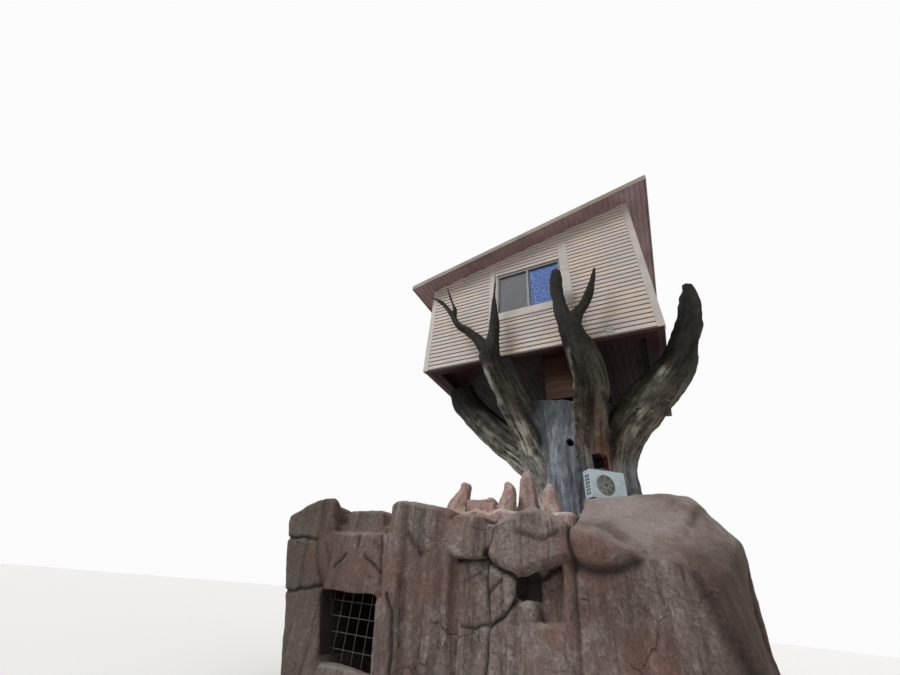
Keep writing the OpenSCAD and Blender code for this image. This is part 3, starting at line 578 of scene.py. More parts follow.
# %% Hew one piece of rock
# Boxes of points painted dark as shade: the den, and the hollow under the boulder.
SHADED_HOLLOWS = [((-4.02, -2.86, 0.64), (-2.38, -0.85, 1.6)), ((-0.66, -2.74, 1.6), (-0.36, -2.3, 1.98))]
BROAD_LUMP, SMALL_LUMP = (0.95, 0.95, 1.2), (0.26, 0.26, 0.34)
FULL_DIRT_AND_SHADE_DEPTH = 0.032


def solids(*names):
    return [nodes[name].data for name in names]


def hew(name, sources, shapes, cracks=(), voxel=0.034, rounds=7, lump=0.045, seed=1, material=rock,
        grit=0.4):
    made = skin(name, shapes, voxel, rounds, material)
    at, out = read_points(made.data)
    small = grit * lump * layered(at, SMALL_LUMP, seed + 7, 4)
    rough = lump * layered(at, BROAD_LUMP, seed, 2) + small
    deep, dirt = grooves(at, out, cracks)
    at = at + out * (rough - deep)[:, None]
    at[:, 2] = np.maximum(at[:, 2], 0.0)
    # Points inside those boxes are painted fully dark, as shade.
    in_painted_shade = np.zeros(len(at), bool)
    for low, high in SHADED_HOLLOWS:
        in_painted_shade |= np.all((at > low) & (at < high), axis=1)
    write_points(made.data, at, dirt=np.maximum(np.clip(dirt / FULL_DIRT_AND_SHADE_DEPTH, 0, 1), in_painted_shade))
    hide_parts(*sources)
    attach(made, "building")
    print(name, "faces:", len(made.data.polygons))
    return made


# The two hollows are painted dark as shade.
print("hollows caked with dirt:", len(SHADED_HOLLOWS))

# %% [markdown]
# ## The rock's front in one skin
# The frame keeps the stones of the front apart. On the real rock they are one coat of render, and
# most joints are only a line cut with the trowel. So the stones are melted into one skin, and thin
# slabs set a little way back fill the deep corners between them. The left side leans outwards with
# its height, so a slab's corners are placed by the same rule as the frame's stones. A slab is given
# by its two sides, its two heights, its front and its depth.

# %% Slabs behind the joints
def mesh_of(shape, name):
    bmesh.ops.recalc_face_normals(shape, faces=shape.faces)
    mesh = bpy.data.meshes.new(name)
    shape.to_mesh(mesh)
    shape.free()
    return mesh


def lean(x, z):
    return -1 + (x + 1) * (1 + 0.13 * z) if x < -1 else x


def slab(x0, x1, low, high, front, deep=0.22):
    shape = bmesh.new()
    for x in (x0, x1):
        for y in (front, front + deep):
            for z in (low, high):
                shape.verts.new((lean(x, z), y, z))
    bmesh.ops.convex_hull(shape, input=shape.verts)
    return mesh_of(shape, "slab")


JOINT_HALF = 0.14
upright_joints = [
    (-3.53, 1.5, 2.26, -2.87), (-2.43, 1.5, 2.3, -2.93), (-2.29, 0.0, 1.55, -2.95),
    (-1.478, 0.0, 1.9, -2.72), (-1.478, 2.08, 2.5, -2.88), (-1.05, 0.0, 1.9, -2.74),
    (-1.05, 2.08, 2.48, -2.86), (-0.64, 0.0, 1.3, -2.76),
]
slabs = [slab(x - JOINT_HALF, x + JOINT_HALF, *rest) for x, *rest in upright_joints]
slabs += [
    slab(-3.6, -2.3, 2.2, 2.44, -2.74), slab(-2.6, -2.3, 1.4, 1.56, -2.87),
    slab(-1.45, -1.08, 1.9, 2.16, -2.72), slab(-1.4, -1.1, 2.2, 2.5, -2.88),
    slab(-3.72, -3.55, 2.2, 2.8, -2.86, 0.35), slab(-3.56, -3.42, 2.2, 2.9, -2.86, 0.2),
    slab(-2.44, -2.16, 1.2, 1.8, -2.95),
]
print("slabs behind the joints:", len(slabs))

# %% [markdown]
# ## The cracks of the front
# They are read off the real front: two level ones in the left block, forked ones over the
# den, soft upright folds, a long crack that runs down beside the boulder, and the sharp line under
# the boulder. Each has its path, its width and its depth.

# %% Cracks, and the front hewn with them
front_cracks = [
    ([(-5.4, 2.15), (-5.2, 2.17), (-4.85, 2.21), (-4.42, 2.19)], 0.024, 0.045),
    ([(-4.95, 1.35), (-4.67, 1.39), (-4.37, 1.43), (-4.05, 1.5)], 0.024, 0.045),
    ([(-4.39, 2.23), (-4.22, 1.82), (-4.02, 1.5)], 0.03, 0.02),
    ([(-4.16, 2.14), (-4.06, 2.02), (-3.95, 1.88)], 0.02, 0.02),
    ([(-4.66, 2.16), (-4.58, 1.8), (-4.5, 1.44)], 0.06, 0.02),
    ([(-3.63, 1.98), (-3.7, 1.9), (-3.78, 1.85), (-3.85, 1.77)], 0.02, 0.035),
    ([(-3.22, 2.0), (-3.12, 1.92), (-3.0, 1.86), (-2.84, 1.74)], 0.02, 0.035),
    ([(-3.42, 2.26), (-3.4, 2.12)], 0.03, 0.025),
    ([(-3.08, 2.16), (-2.94, 2.08)], 0.05, 0.02),
    ([(-2.92, 2.31), (-2.86, 2.0), (-2.79, 1.6)], 0.024, 0.03),
    ([(-2.62, 1.5), (-2.5, 1.3), (-2.47, 1.12), (-2.38, 0.63), (-2.29, 0.0)], 0.022, 0.045),
    ([(-2.52, 2.7), (-2.45, 1.9), (-2.2, 0.2)], 0.09, 0.045),
    ([(-2.2, 2.72), (-2.12, 2.0), (-1.98, 0.2)], 0.12, 0.04),
    ([(-1.86, 2.6), (-1.8, 1.5), (-1.72, 0.2)], 0.1, 0.035),
    ([(-2.4, 2.3), (-2.15, 2.05), (-2.0, 2.1)], 0.05, 0.025),
    ([(-2.0, 2.45), (-2.02, 1.6), (-1.9, 0.9)], 0.12, -0.03),
    ([(-1.56, 2.0), (-1.3, 2.02), (-1.06, 2.02)], 0.024, 0.04),
    ([(-1.46, 1.25), (-1.25, 1.24), (-1.08, 1.27)], 0.02, 0.03),
    ([(-1.4, 1.75), (-1.2, 1.86), (-1.1, 1.8)], 0.03, 0.02),
    ([(-1.3, 1.7), (-1.26, 0.9), (-1.3, 0.2)], 0.06, 0.02),
    ([(-0.88, 2.56), (-0.91, 2.48), (-0.95, 2.29), (-1.03, 2.14), (-1.05, 2.04), (-1.06, 1.75), (-1.04, 1.32),
      (-1.06, 0.96), (-1.05, 0.1)], 0.024, 0.055),
    ([(-1.02, 2.0), (-0.86, 1.93), (-0.57, 1.81), (-0.44, 1.82), (-0.22, 1.91),
      (-0.01, 1.98), (0.16, 2.03)], 0.026, 0.05),
    ([(-1.03, 1.63), (-0.92, 1.7), (-0.83, 1.78)], 0.02, 0.03),
    ([(-1.02, 1.28), (-0.83, 1.38), (-0.67, 1.52), (-0.58, 1.66), (-0.57, 1.85)], 0.024, 0.045),
    ([(-0.54, 2.35), (-0.42, 2.31), (-0.2, 2.27), (0.03, 2.4)], 0.035, 0.025),
    ([(-0.56, 2.6), (-0.41, 2.56), (-0.27, 2.52)], 0.08, 0.02),
]
front_stones = ["rock_left_block", "rock_lintel", "rock_upper_block", "rock_jamb", "rock_sill", "rock_folds",
                "rock_panel", "rock_crag"]
stones = [hew("front_rock", front_stones, solids(*front_stones) + slabs, front_cracks,
              voxel=0.027, rounds=4, lump=0.035, seed=11)]

# %% [markdown]
# ## The mound and the back
# The mound is the largest stone. Its front swells into a bulge on the left, under a broad slope
# that catches the light, and it falls back below. Its lumps are larger and its creases wider. The
# flank, the core and the two back masses are hewn with a coarser skin, because they are seen from
# farther off. The core's top is the deck, so it gets the salmon coat.

# %% Hew the mound and the back of the rock
mound_creases = [
    ([(0.17, 2.5), (0.15, 2.1), (0.15, 0.2)], 0.025, 0.02),
    ([(0.2, 2.02), (0.4, 1.96), (0.66, 1.98), (0.92, 2.1)], 0.09, 0.07),
    ([(0.2, 2.3), (0.5, 2.26), (0.8, 2.2)], 0.13, -0.06),
    ([(0.2, 2.58), (0.52, 2.52), (0.78, 2.4), (1.0, 2.2)], 0.08, 0.03),
    ([(0.3, 1.6), (0.6, 1.5), (0.9, 1.6)], 0.3, 0.06),
    ([(1.3, 2.4), (1.3, 1.6), (1.2, 0.5)], 0.3, -0.05),
    ([(1.5, 2.0), (1.62, 1.6), (1.85, 0.9), (1.9, 0.2)], 0.08, 0.05),
    ([(1.72, 2.8), (1.68, 2.68), (1.6, 2.6)], 0.05, 0.02),
]
mound_shapes = solids("rock_mound") + [slab(0.02, 0.3, 0.0, 2.3, -2.78, 1.6)]
stones += [
    hew("mound_rock", ["rock_mound"], mound_shapes, mound_creases, voxel=0.03, rounds=8, lump=0.05, seed=21),
    hew("flank_rock", ["rock_flank"], solids("rock_flank"), voxel=0.045, lump=0.06, seed=22),
    hew("core_rock", ["rock_core"], solids("rock_core"), voxel=0.06, rounds=3, lump=0.02, seed=23,
        material=salmon),
    hew("back_left_rock", ["rock_back_left"], solids("rock_back_left"), voxel=0.045, lump=0.06, seed=24),
    hew("back_right_rock", ["rock_back_right"], solids("rock_back_right"), voxel=0.045, lump=0.06, seed=25),
]
print("all stones:", len(stones), "faces:", sum(len(stone.data.polygons) for stone in stones))

# %% [markdown]
# ## Limbs
# A limb is a path of points with a radius at each, and the points are the ones of the frame's own
# limbs. The core, the middle roots and the web make the trunk. The thick limbs fork from it under
# the floor, the thin ones pass beside the cabin, and those at the back repeat the front, mirrored.

# %% The limbs' paths: x, y, z and radius in millimetres, as in the frame
middle_root = [
    (-330, -520, 2750, 440), (-330, -600, 3500, 430), (-300, -780, 4200, 450), (-150, -1060, 5130, 575)]
left_front = [
    (-620, -430, 2750, 330), (-640, -560, 3300, 310), (-700, -800, 3820, 290), (-840, -1000, 4140, 252),
    (-980, -1350, 4610, 220), (-1100, -1850, 5090, 220), (-1200, -2350, 5540, 225), (-1270, -2470, 5850, 215)]
left_spike = [
    (-1240, -2440, 5700, 195), (-1170, -2490, 6160, 125), (-1150, -2500, 6470, 98), (-1155, -2500, 6950, 60),
    (-1160, -2500, 7330, 34), (-1147, -2500, 7730, 22), (-1126, -2500, 8560, 10)]
left_arm = [
    (-1230, -2420, 5700, 180), (-1440, -2520, 6060, 110), (-1750, -2560, 6440, 88), (-2015, -2600, 6690, 72),
    (-2180, -2600, 7020, 60), (-2430, -2600, 7400, 38), (-2660, -2600, 7640, 26), (-2887, -2600, 7820, 14)]
left_twig = [
    (-2120, -2600, 6900, 50), (-2140, -2600, 7170, 46), (-2215, -2600, 7385, 26), (-2365, -2600, 7805, 16),
    (-2422, -2600, 8004, 10)]
inner_limb = [
    (-560, -420, 3900, 260), (-790, -600, 4310, 240), (-880, -1000, 4860, 245),
    (-970, -1500, 5340, 225), (-1080, -1850, 5640, 215), (-1150, -1940, 5890, 200)]
left_low = [
    (-620, 0, 2750, 380), (-680, -60, 3400, 380), (-850, -200, 3900, 390), (-1300, -320, 4350, 390),
    (-1800, -480, 4760, 370), (-2220, -700, 5180, 350), (-2530, -880, 5570, 320), (-2650, -1000, 5890, 290)]
centre_path = [
    (330, -520, 2750, 320), (320, -600, 3500, 300), (311, -850, 4100, 320), (385, -1050, 4480, 320),
    (480, -1350, 4870, 310), (575, -1750, 5210, 305), (595, -2100, 5410, 295),
    (515, -2440, 5720, 255), (430, -2510, 6070, 240)]
centre_stub = [
    (445, -2500, 5950, 205), (333, -2520, 6420, 150), (286, -2520, 6810, 136),
    (283, -2520, 7270, 130), (307, -2520, 7570, 95)]
centre_arm = [
    (440, -2500, 5980, 190), (612, -2520, 6280, 138), (795, -2550, 6480, 95),
    (930, -2550, 6790, 70), (1092, -2550, 7350, 28)]
right_path = [
    (650, -330, 2750, 350), (660, -400, 3400, 345), (700, -470, 3990, 350), (970, -600, 4570, 385),
    (1455, -800, 5015, 395), (1840, -1000, 5255, 375), (2200, -1250, 5610, 300), (2370, -1300, 5980, 250),
    (2580, -1340, 6490, 205), (2680, -1380, 6900, 170), (2740, -1400, 7300, 90)]
core = [(0, 0, 2750, 880), (0, 0, 3650, 860), (0, 0, 4300, 940), (0, 0, 5130, 1150)]
web = [
    (-430, -520, 2750, 380), (-450, -640, 3600, 380), (-500, -860, 4300, 360), (-640, -1000, 4700, 280),
    (-850, -1020, 4880, 200)]


def behind(path):
    return [(x, -y, z, r) for x, y, z, r in path]


print("the highest point of a limb, in mm:", max(point[2] for point in left_spike + right_path + centre_stub))

# %% [markdown]
# A path is swept into a tube. It is smoothed by a Catmull-Rom curve, which passes through all its
# points and bends evenly between them. Rings are set square to the curve, each turned as little as
# possible from the one before, so that the tube doesn't twist.

# %% Sweep a limb
def smooth_path(path, step):
    knots = np.array(path, float) / 1000
    knots = np.vstack([2 * knots[0] - knots[1], knots, 2 * knots[-1] - knots[-2]])
    samples = []
    for i in range(1, len(knots) - 2):
        count = max(2, int(np.linalg.norm(knots[i + 1, :3] - knots[i, :3]) / step))
        for t in np.linspace(0, 1, count, endpoint=False):
            a, b, c, d = knots[i - 1:i + 3]
            samples.append(0.5 * (2 * b + (c - a) * t + (2 * a - 5 * b + 4 * c - d) * t ** 2
                                  + (3 * b - a - 3 * c + d) * t ** 3))
    samples.append(knots[-2])
    return np.array(samples)


def frames_along(samples):
    heading = np.gradient(samples[:, :3], axis=0)
    heading /= np.linalg.norm(heading, axis=1)[:, None]
    side = np.zeros_like(heading)
    side[0] = np.cross(heading[0], (0.2, 1, 0.1))
    for i in range(len(samples)):
        last = side[i - 1] if i else side[0]
        side[i] = last - heading[i] * (last @ heading[i])
        side[i] /= np.linalg.norm(side[i])
    length = np.concatenate([[0], np.cumsum(np.linalg.norm(np.diff(samples[:, :3], axis=0), axis=1))])
    return side, np.cross(heading, side), length


def tube(path, sides, step):
    samples = smooth_path(path, step)
    side, other, _ = frames_along(samples)
    angle = (np.arange(sides) * 2 * np.pi / sides)[None, :, None]
    spokes = np.cos(angle) * side[:, None] + np.sin(angle) * other[:, None]
    rings = samples[:, None, :3] + samples[:, 3, None, None] * spokes
    count = len(samples)
    pairs = [(k, (k + 1) % sides) for k in range(sides)]
    faces = [(r * sides + k, r * sides + m, (r + 1) * sides + m, (r + 1) * sides + k)
             for r in range(count - 1) for k, m in pairs]
    faces += [tuple(range(sides - 1, -1, -1)), tuple(range((count - 1) * sides, count * sides))]
    mesh = bpy.data.meshes.new("tube")
    mesh.from_pydata(rings.reshape(-1, 3).tolist(), [], faces)
    return mesh


print("length of the left low limb:", round(frames_along(smooth_path(left_low, 0.1))[2][-1], 2))

# %% [markdown]
# ## Splinters on the rim
# Four splinters of rock stand on the rim of the deck, wide at the foot and knobbed at the tip.
# Each is swept like a limb, from points read off its outline, with few sides so that its faces stay
# flat. They are melted into one skin with the low round stone, the two flat ones and a bank of
# render at their feet, so that they grow out of the rim.

# %% Splinters, stones and bank
left_spire = [
    (-1900, -2200, 2600, 330), (-1880, -2150, 2840, 240), (-1840, -2150, 2940, 200),
    (-1820, -2150, 3030, 165), (-1785, -2150, 3120, 130), (-1770, -2150, 3205, 120), (-1750, -2150, 3265, 65)]
middle_spire = [
    (-1000, -2200, 2600, 240), (-990, -2150, 2710, 215), (-980, -2150, 2880, 180), (-955, -2150, 3030, 150),
    (-955, -2150, 3130, 128), (-980, -2150, 3215, 92), (-1000, -2150, 3262, 50)]
tall_spire = [
    (-720, -1850, 2650, 240), (-712, -1850, 2940, 210), (-712, -1850, 3070, 188), (-722, -1850, 3200, 168),
    (-735, -1850, 3340, 146), (-725, -1850, 3440, 108), (-700, -1850, 3505, 50)]
small_spire = [
    (-270, -2180, 2600, 210), (-268, -2150, 2790, 180), (-262, -2150, 2920, 146), (-255, -2150, 3050, 106),
    (-248, -2150, 3130, 62), (-240, -2150, 3190, 28)]
round_stone = [
    (-1390, -1900, 2700, 190), (-1390, -1900, 2900, 180), (-1390, -1900, 3020, 125), (-1390, -1900, 3080, 60)]
bank = [
    (-2350, -2330, 2610, 130), (-1900, -2350, 2640, 165), (-1650, -2350, 2610, 120),
    (-1450, -2330, 2650, 155), (-1200, -2370, 2600, 120), (-1000, -2350, 2640, 150), (-650, -2360, 2600, 130)]
rim_paths = [left_spire, middle_spire, tall_spire, small_spire, round_stone, bank]
rim_shapes = [tube(path, 7, 0.15) for path in rim_paths]
rim_shapes += [slab(-1.456, -1.2, 2.6, 2.92, -2.4, 0.36), slab(-1.19, -1.1, 2.6, 2.86, -2.42, 0.25)]
rim_nodes = ["left_spire", "middle_spire", "tall_spire", "small_spire", "rim_rocks"]
hew("rim_splinters", rim_nodes, rim_shapes, voxel=0.015, rounds=1, lump=0.016, seed=31,
    material=salmon, grit=1.6)
print("rim pieces melted together:", len(rim_shapes))

# %% [markdown]
# ## The grain of the bark
# Every point of the tree looks for the limb it belongs to: the one whose axis is nearest, counted
# in that limb's own radii. From there it knows how far along the limb it is and on which side. Each
# limb's numbers are shifted, so that no two limbs show the same marks. The points are taken in
# batches, because a table of all points and all samples would fill the memory.

# %% Find the grain
BATCH = 20000
SHIFT_ROUND, SHIFT_ALONG = 3.1, 7.3


def grain_of(at, paths):
    best = np.full(len(at), 1e9)
    owner = np.zeros(len(at), int)
    grain = np.zeros((len(at), 3))
    for number, path in enumerate(paths):
        samples = smooth_path(path, 0.06)
        side, other, length = frames_along(samples)
        for start in range(0, len(at), BATCH):
            part = slice(start, start + BATCH)
            gap = np.linalg.norm(at[part, None] - samples[None, :, :3], axis=2) / (samples[None, :, 3] + 0.02)
            nearest = gap.argmin(axis=1)
            closeness = gap[np.arange(len(nearest)), nearest]
            taken = closeness < best[part]
            index = np.arange(start, start + len(nearest))[taken]
            pick = nearest[taken]
            offset = at[index] - samples[pick, :3]
            across = np.stack([(offset * side[pick]).sum(1), (offset * other[pick]).sum(1)], axis=1)
            size = np.linalg.norm(across, axis=1, keepdims=True) + 1e-6
            across *= samples[pick, 3:4] / size
            along = length[pick] + SHIFT_ALONG * number
            grain[index] = np.column_stack([across + SHIFT_ROUND * number, along])
            best[index] = closeness[taken]
            owner[index] = number
    return grain, owner


sample_grain = grain_of(np.array([[-2.0, -0.9, 4.9]]), [left_low])[0]
print("grain of a point on the left low limb:", sample_grain.round(2))

# %% [markdown]
# ## What weather and painted light leave on the bark
# Lime runs pale down the stems, rust comes out of the recess, and the comb's hollows are painted
# darker. Some pale runs are painted highlights on lit edges, and the creases where limbs meet are
# darkened as painted shade. The pale and rusty runs are paths on the tree's front, each with its
# width and strength, and are read off the real tree. The centre branch and the left limb are
# painted darker with height, as the shade where the floor keeps the light off them. Each of those
# two places has its strength, the height where it starts, how fast it grows, and its limits in x
# and y.

# %% Stains and painted light on the bark
# Pale runs: lime, and painted highlights on lit edges, such as the centre limb's left side.
PALE_RUNS = [
    ([(0.07, 4.45), (0.18, 5.03), (0.32, 5.27), (0.36, 5.5)], 0.035, 0.9),
    ([(-1.38, 5.4), (-1.31, 5.0), (-1.12, 4.64), (-0.96, 4.39), (-0.9, 4.2)], 0.1, 0.8),
    ([(-0.93, 4.45), (-0.78, 4.03), (-0.75, 3.68), (-0.72, 3.35), (-0.7, 2.9)], 0.13, 1.7),
    ([(1.87, 5.37), (1.6, 5.14), (1.3, 4.75), (1.13, 4.38)], 0.1, 0.7),
    ([(-1.5, 4.2), (-1.2, 3.95), (-1.0, 3.7)], 0.16, 1.2),
    ([(-2.2, 4.9), (-1.7, 4.5), (-1.4, 4.15)], 0.28, 0.6),
]
RUST_RUNS = [([(0.5, 3.9), (0.54, 4.26), (0.55, 4.65)], 0.15), ([(0.63, 3.95), (0.62, 3.74)], 0.05)]
# Creases where limbs meet, darkened as painted shade.
CREASES = [
    [(-0.9, 5.0), (-0.81, 4.76), (-0.66, 4.52), (-0.62, 4.25)], [(0.79, 4.85), (0.82, 4.55), (0.68, 4.25)]]
CREASE_WIDTH = 0.055
# Painted shade under the floor, on the centre branch and the left limb.
SHADED = [(0.35, 4.0, 0.6, (0.15, 0.95), (-9.0, -0.9)), (1.2, 4.85, 0.5, (-9.0, -1.6), (-1.5, 1.5))]


def near(at, path, width):
    return np.exp(-(path_distance(at, path) / width) ** 2)


def stains(at, raised):
    x, y, z = at.T
    rust = sum(near(at, path, width) for path, width in RUST_RUNS)
    rust = rust * (y < -0.75) * (0.7 + 0.6 * lumps(at, 0.1, 3))
    pale = np.zeros(len(at))
    for path, width, share in PALE_RUNS:
        pale += share * near(at, path, width) * (y < -0.3) * (0.6 + 0.9 * lumps(at, 0.12, 4))
    # Darker in the comb's hollows, and painted shade in the creases and under the floor.
    painted_shade_and_dirt = np.clip(0.35 - raised / 1.4, 0, 1)
    for path in CREASES:
        painted_shade_and_dirt += 0.9 * near(at, path, CREASE_WIDTH) * (y < -0.4)
    for strength, low, grow, (x0, x1), (y0, y1) in SHADED:
        there = (x > x0) & (x < x1) & (y > y0) & (y < y1)
        painted_shade_and_dirt += strength * np.clip((z - low) / grow, 0, 1) * there
    return {"dirt": painted_shade_and_dirt * 0.8, "rust": np.clip(rust, 0, 1), "pale": np.clip(pale, 0, 1)}


print("runs of lime:", len(PALE_RUNS), "of rust:", len(RUST_RUNS), "creases:", len(CREASES))

# %% [markdown]
# ## Combing the bark
# The comb's marks are ridged noise in the grain's numbers: flutes of 200 mm, and ribs of 85 mm on
# them. Both are seven times longer than wide, so they follow each bend, and where two
# limbs meet they meet in a natural crease. Knots of no direction keep them from looking ruled. The
# painted front stems are smoother, so their strength is less. Every limb says how far it is
# painted, and near the deck all of them are.

# %% Push the bark in and out
FLUTE, RIB, KNOT = (0.2, 0.2, 1.5), (0.085, 0.085, 0.6), 0.42
TRUNK_FOOT = 2.7
PAINT_TOP, PAINT_FADE = 4.15, 0.5


def comb_bark(made, paths, flute, seed, painted=()):
    at, out = read_points(made.data)
    grain, owner = grain_of(at, paths)
    stem = np.array(painted)[owner] if painted else np.zeros(len(at))
    strength = flute * (1 - 0.6 * stem)
    stem = np.maximum(stem, 0.45 * np.clip((PAINT_TOP - at[:, 2]) / PAINT_FADE, 0, 1))
    flutes = ridged(grain, FLUTE, seed)
    ribs = ridged(grain, RIB, seed + 3) * 0.45
    knots = layered(at, KNOT, seed + 5, 3) * 1.15
    at = at + out * (strength * (flutes + ribs + knots - 0.6))[:, None]
    at[:, 2] = np.maximum(at[:, 2], TRUNK_FOOT)
    write_points(made.data, at, grain=grain, stem=stem, **stains(at, flutes + ribs))
    print(made.name, "faces:", len(made.data.polygons))


print("flutes are", FLUTE[0], "wide and", FLUTE[2], "long")

# %% [markdown]
# ## The tree
# The trunk and the thick limbs are melted into one skin, so that the limbs grow out of the trunk
# without a seam. The recess over the outdoor unit and the knot hole are cut after the melting, so
# that their edges stay crisp: a boolean takes a block and a short tube away, and leaves the
# cutter's dark material inside.

# %% Blocks and cuts
def block(name, low, high, material):
    low, high = Vector(low), Vector(high)
    shape = bmesh.new()
    bmesh.ops.create_cube(shape, size=1.0)
    for vertex in shape.verts:
        vertex.co = Vector(low[i] + (vertex.co[i] + 0.5) * (high[i] - low[i]) for i in range(3))
    return as_object(name, mesh_of(shape, name), material)


RECESS_LOW, RECESS_HIGH = (0.33, -1.25, 3.735), (0.58, -0.72, 3.975)


def cut_with(made, cutter):
    cut = made.modifiers.new("cut", "BOOLEAN")
    cut.operation = "DIFFERENCE"
    cut.solver = "EXACT"
    cut.object = cutter
    cut.material_mode = "TRANSFER"
    applied(made)
    bpy.data.objects.remove(cutter)
    print("faces after the cut:", len(made.data.polygons))


print("the recess will be cut", round(RECESS_HIGH[0] - RECESS_LOW[0], 3), "wide and",
      round(RECESS_HIGH[2] - RECESS_LOW[2], 3), "high")

# %% [markdown]
# The mass has eleven limbs, and each says how far it is painted. A voxel of 28.5 mm is as fine as
# a piece of under 200,000 triangles allows. The knot hole's tube runs along y, so that it goes
# into the trunk's front, and the recess is a block just over the outdoor unit.

# %% Melt the tree's mass, comb it and cut it
limbs = [
    (core, 0.7), (middle_root, 1.0), (web, 0.9), (behind(middle_root), 1.0), (left_front, 0.0),
    (inner_limb, 0.05), (left_low, 0.12), (centre_path, 0.0), (right_path, 0.0),
    (behind(left_front), 0.0), (behind(centre_path), 0.0)]
mass_paths, painted_shares = zip(*limbs)
mass_tubes = [tube(path, sides=28, step=0.12) for path in mass_paths]
tree = skin("tree_mass", mass_tubes, voxel=0.0285, rounds=8, material=bark)
comb_bark(tree, mass_paths, flute=0.034, seed=41, painted=painted_shares)
knot_path = [(-30, -700, 4210, 62), (-30, -1700, 4210, 62)]
cut_with(tree, as_object("knot cutter", tube(knot_path, 20, 0.2), dark_recess))
cut_with(tree, block("recess cutter", RECESS_LOW, RECESS_HIGH, dark_recess))

# %% [markdown]
# ## Thin ends of the branches
# The thin ends are swept apart from the tree and start inside it, because a grid fine enough for a
# finger-thick tip would be far too heavy for the trunk. Each has a seed of its own for its lumps.

# %% Sweep and comb the ends
ends = {
    "left_front_ends": (66, [left_spike, left_arm, left_twig]),
    "centre_ends": (62, [centre_stub, centre_arm]),
    "back_left_ends": (65, [behind(left_spike), behind(left_arm)]),
    "back_right_ends": (66, [behind(centre_stub), behind(centre_arm)]),
}
for name, (seed, paths) in ends.items():
    tubes = [tube(path, sides=24, step=0.05) for path in paths]
    made = skin(name, tubes, voxel=0.013, rounds=5, material=bark)
    comb_bark(made, paths, flute=0.017, seed=seed)
    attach(made, "building")
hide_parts("trunk", "left_front_branch", "inner_limb", "left_limb", "centre_branch", "right_limb",
            "back_left_branch", "back_right_branch")
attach(tree, "building")

# %% [markdown]
# ## Lapped boards
# Each course of cladding is a row of thin boards: thick at the lower edge, thin where the next
# course laps over it. The lower edge throws the dark line that marks every course. A board is
# made as a strip of sections of seven points, so one function also cuts it to the roof's slope.
# Its underside is marked with the value gap, which the timber finish darkens as painted shadow.

# %% One board
COURSE = 0.113
BUTT = 0.0205
GAP = 0.027
ROUND, LIP, TAPER = 0.003, 0.004, 0.006


def strip(shape, rings, closed=False):
    following = rings[1:] + rings[:1] if closed else rings[1:]
    faces = [shape.faces.new((a[k], a[(k + 1) % len(a)], b[(k + 1) % len(a)], b[k]))
             for a, b in zip(rings, following) for k in range(len(a))]
    if not closed:
        faces += [shape.faces.new(rings[0][::-1]), shape.faces.new(rings[-1])]
    return faces


def new_boards():
    shape = bmesh.new()
    shape.loops.layers.uv.new("board")
    for mark in ("tone", "gap"):
        shape.verts.layers.float.new(mark)
    return shape


def lay_board(shape, columns, z_low, place, shift, shade):
    uv = shape.loops.layers.uv["board"]
    tone, gap = (shape.verts.layers.float[mark] for mark in ("tone", "gap"))
    rings, flat = [], {}
    for s, z_top in columns:
        lip = min(z_low + GAP, z_top - LIP)
        thin = BUTT - TAPER * min(1.0, (z_top - lip) / COURSE)
        section = [(0.0, z_low), (ROUND, z_low), (ROUND, lip - LIP), (BUTT - ROUND, lip),
                   (BUTT, lip + LIP), (thin, z_top), (0.0, z_top)]
        rings.append([shape.verts.new(place(s, off, z)) for off, z in section])
        # The foot's first three points are marked with gap: the painted shadow of the recessed strip under
        # the lip.
        for vertex in rings[-1][:3]:
            vertex[gap] = 1.0
        unrolled = [z_low + rise for rise in (-0.02, -0.017, -0.003, 0.012, 0.02)] + [z_top, z_top + 0.01]
        for vertex, z in zip(rings[-1], unrolled):
            flat[vertex] = (s + shift, z + shift * 3.7)
    for face in strip(shape, rings):
        for loop in face.loops:
            loop[uv].uv = flat[loop.vert]
            loop.vert[tone] = shade


print("a board covers", COURSE, "and is", BUTT, "thick at its butt")

# %% [markdown]
# A wall is laid out flat, course by course: s runs along it and z up from the cabin's floor.
# Boards break at random places, as boards from a stack do. Where a course meets the opening of the
# window, its boards end beside it or are cut lower. A board that reaches the roof gets many
# columns, so that its top can follow the slope.

# %% One wall of boards
SHORTEST, LONGEST = 1.1, 2.6
JOINT = 0.0008
SLOPED_COLUMNS = 60
LOWEST_BOARD = 0.03
TOUCH = 1e-6


def breaks_of(course_z, chance, length, opening):
    breaks = [0.0]
    while breaks[-1] < length:
        breaks.append(min(length, breaks[-1] + chance.uniform(SHORTEST, LONGEST)))
    beside = opening and course_z + COURSE > opening[1] and course_z < opening[3]
    if beside:
        outside = [b for b in breaks if not opening[0] < b < opening[2]]
        breaks = sorted(outside + [opening[0], opening[2]])
    return breaks, beside


def lapped_wall(name, length, height_at, place, seed, opening=None):
    chance = random.Random(seed)
    shape = new_boards()
    for course in range(int(max(height_at(0), height_at(length)) / COURSE) + 1):
        z0 = course * COURSE
        z1 = z0 + COURSE
        breaks, beside = breaks_of(z0, chance, length, opening)
        for a, b in zip(breaks, breaks[1:]):
            z_low, z_high = z0, z1
            if beside and a >= opening[0] - TOUCH and b <= opening[2] + TOUCH:
                if z0 >= opening[1] and z1 <= opening[3]:
                    continue
                z_low, z_high = (z0, opening[1]) if z0 < opening[1] else (max(z0, opening[3]), z1)
            whole = min(height_at(a), height_at(b)) >= z_high
            run = np.linspace(a + JOINT, b - JOINT, 2 if whole else SLOPED_COLUMNS)
            columns = [(s, min(z_high, height_at(s))) for s in run]
            columns = [column for column in columns if column[1] > z_low + LOWEST_BOARD]
            if len(columns) > 1:
                lay_board(shape, columns, z_low, place, chance.uniform(0, 40), chance.random())
    made = as_object(name, mesh_of(shape, name), cladding)
    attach(made, "building")
    print(name, "faces:", len(made.data.polygons))


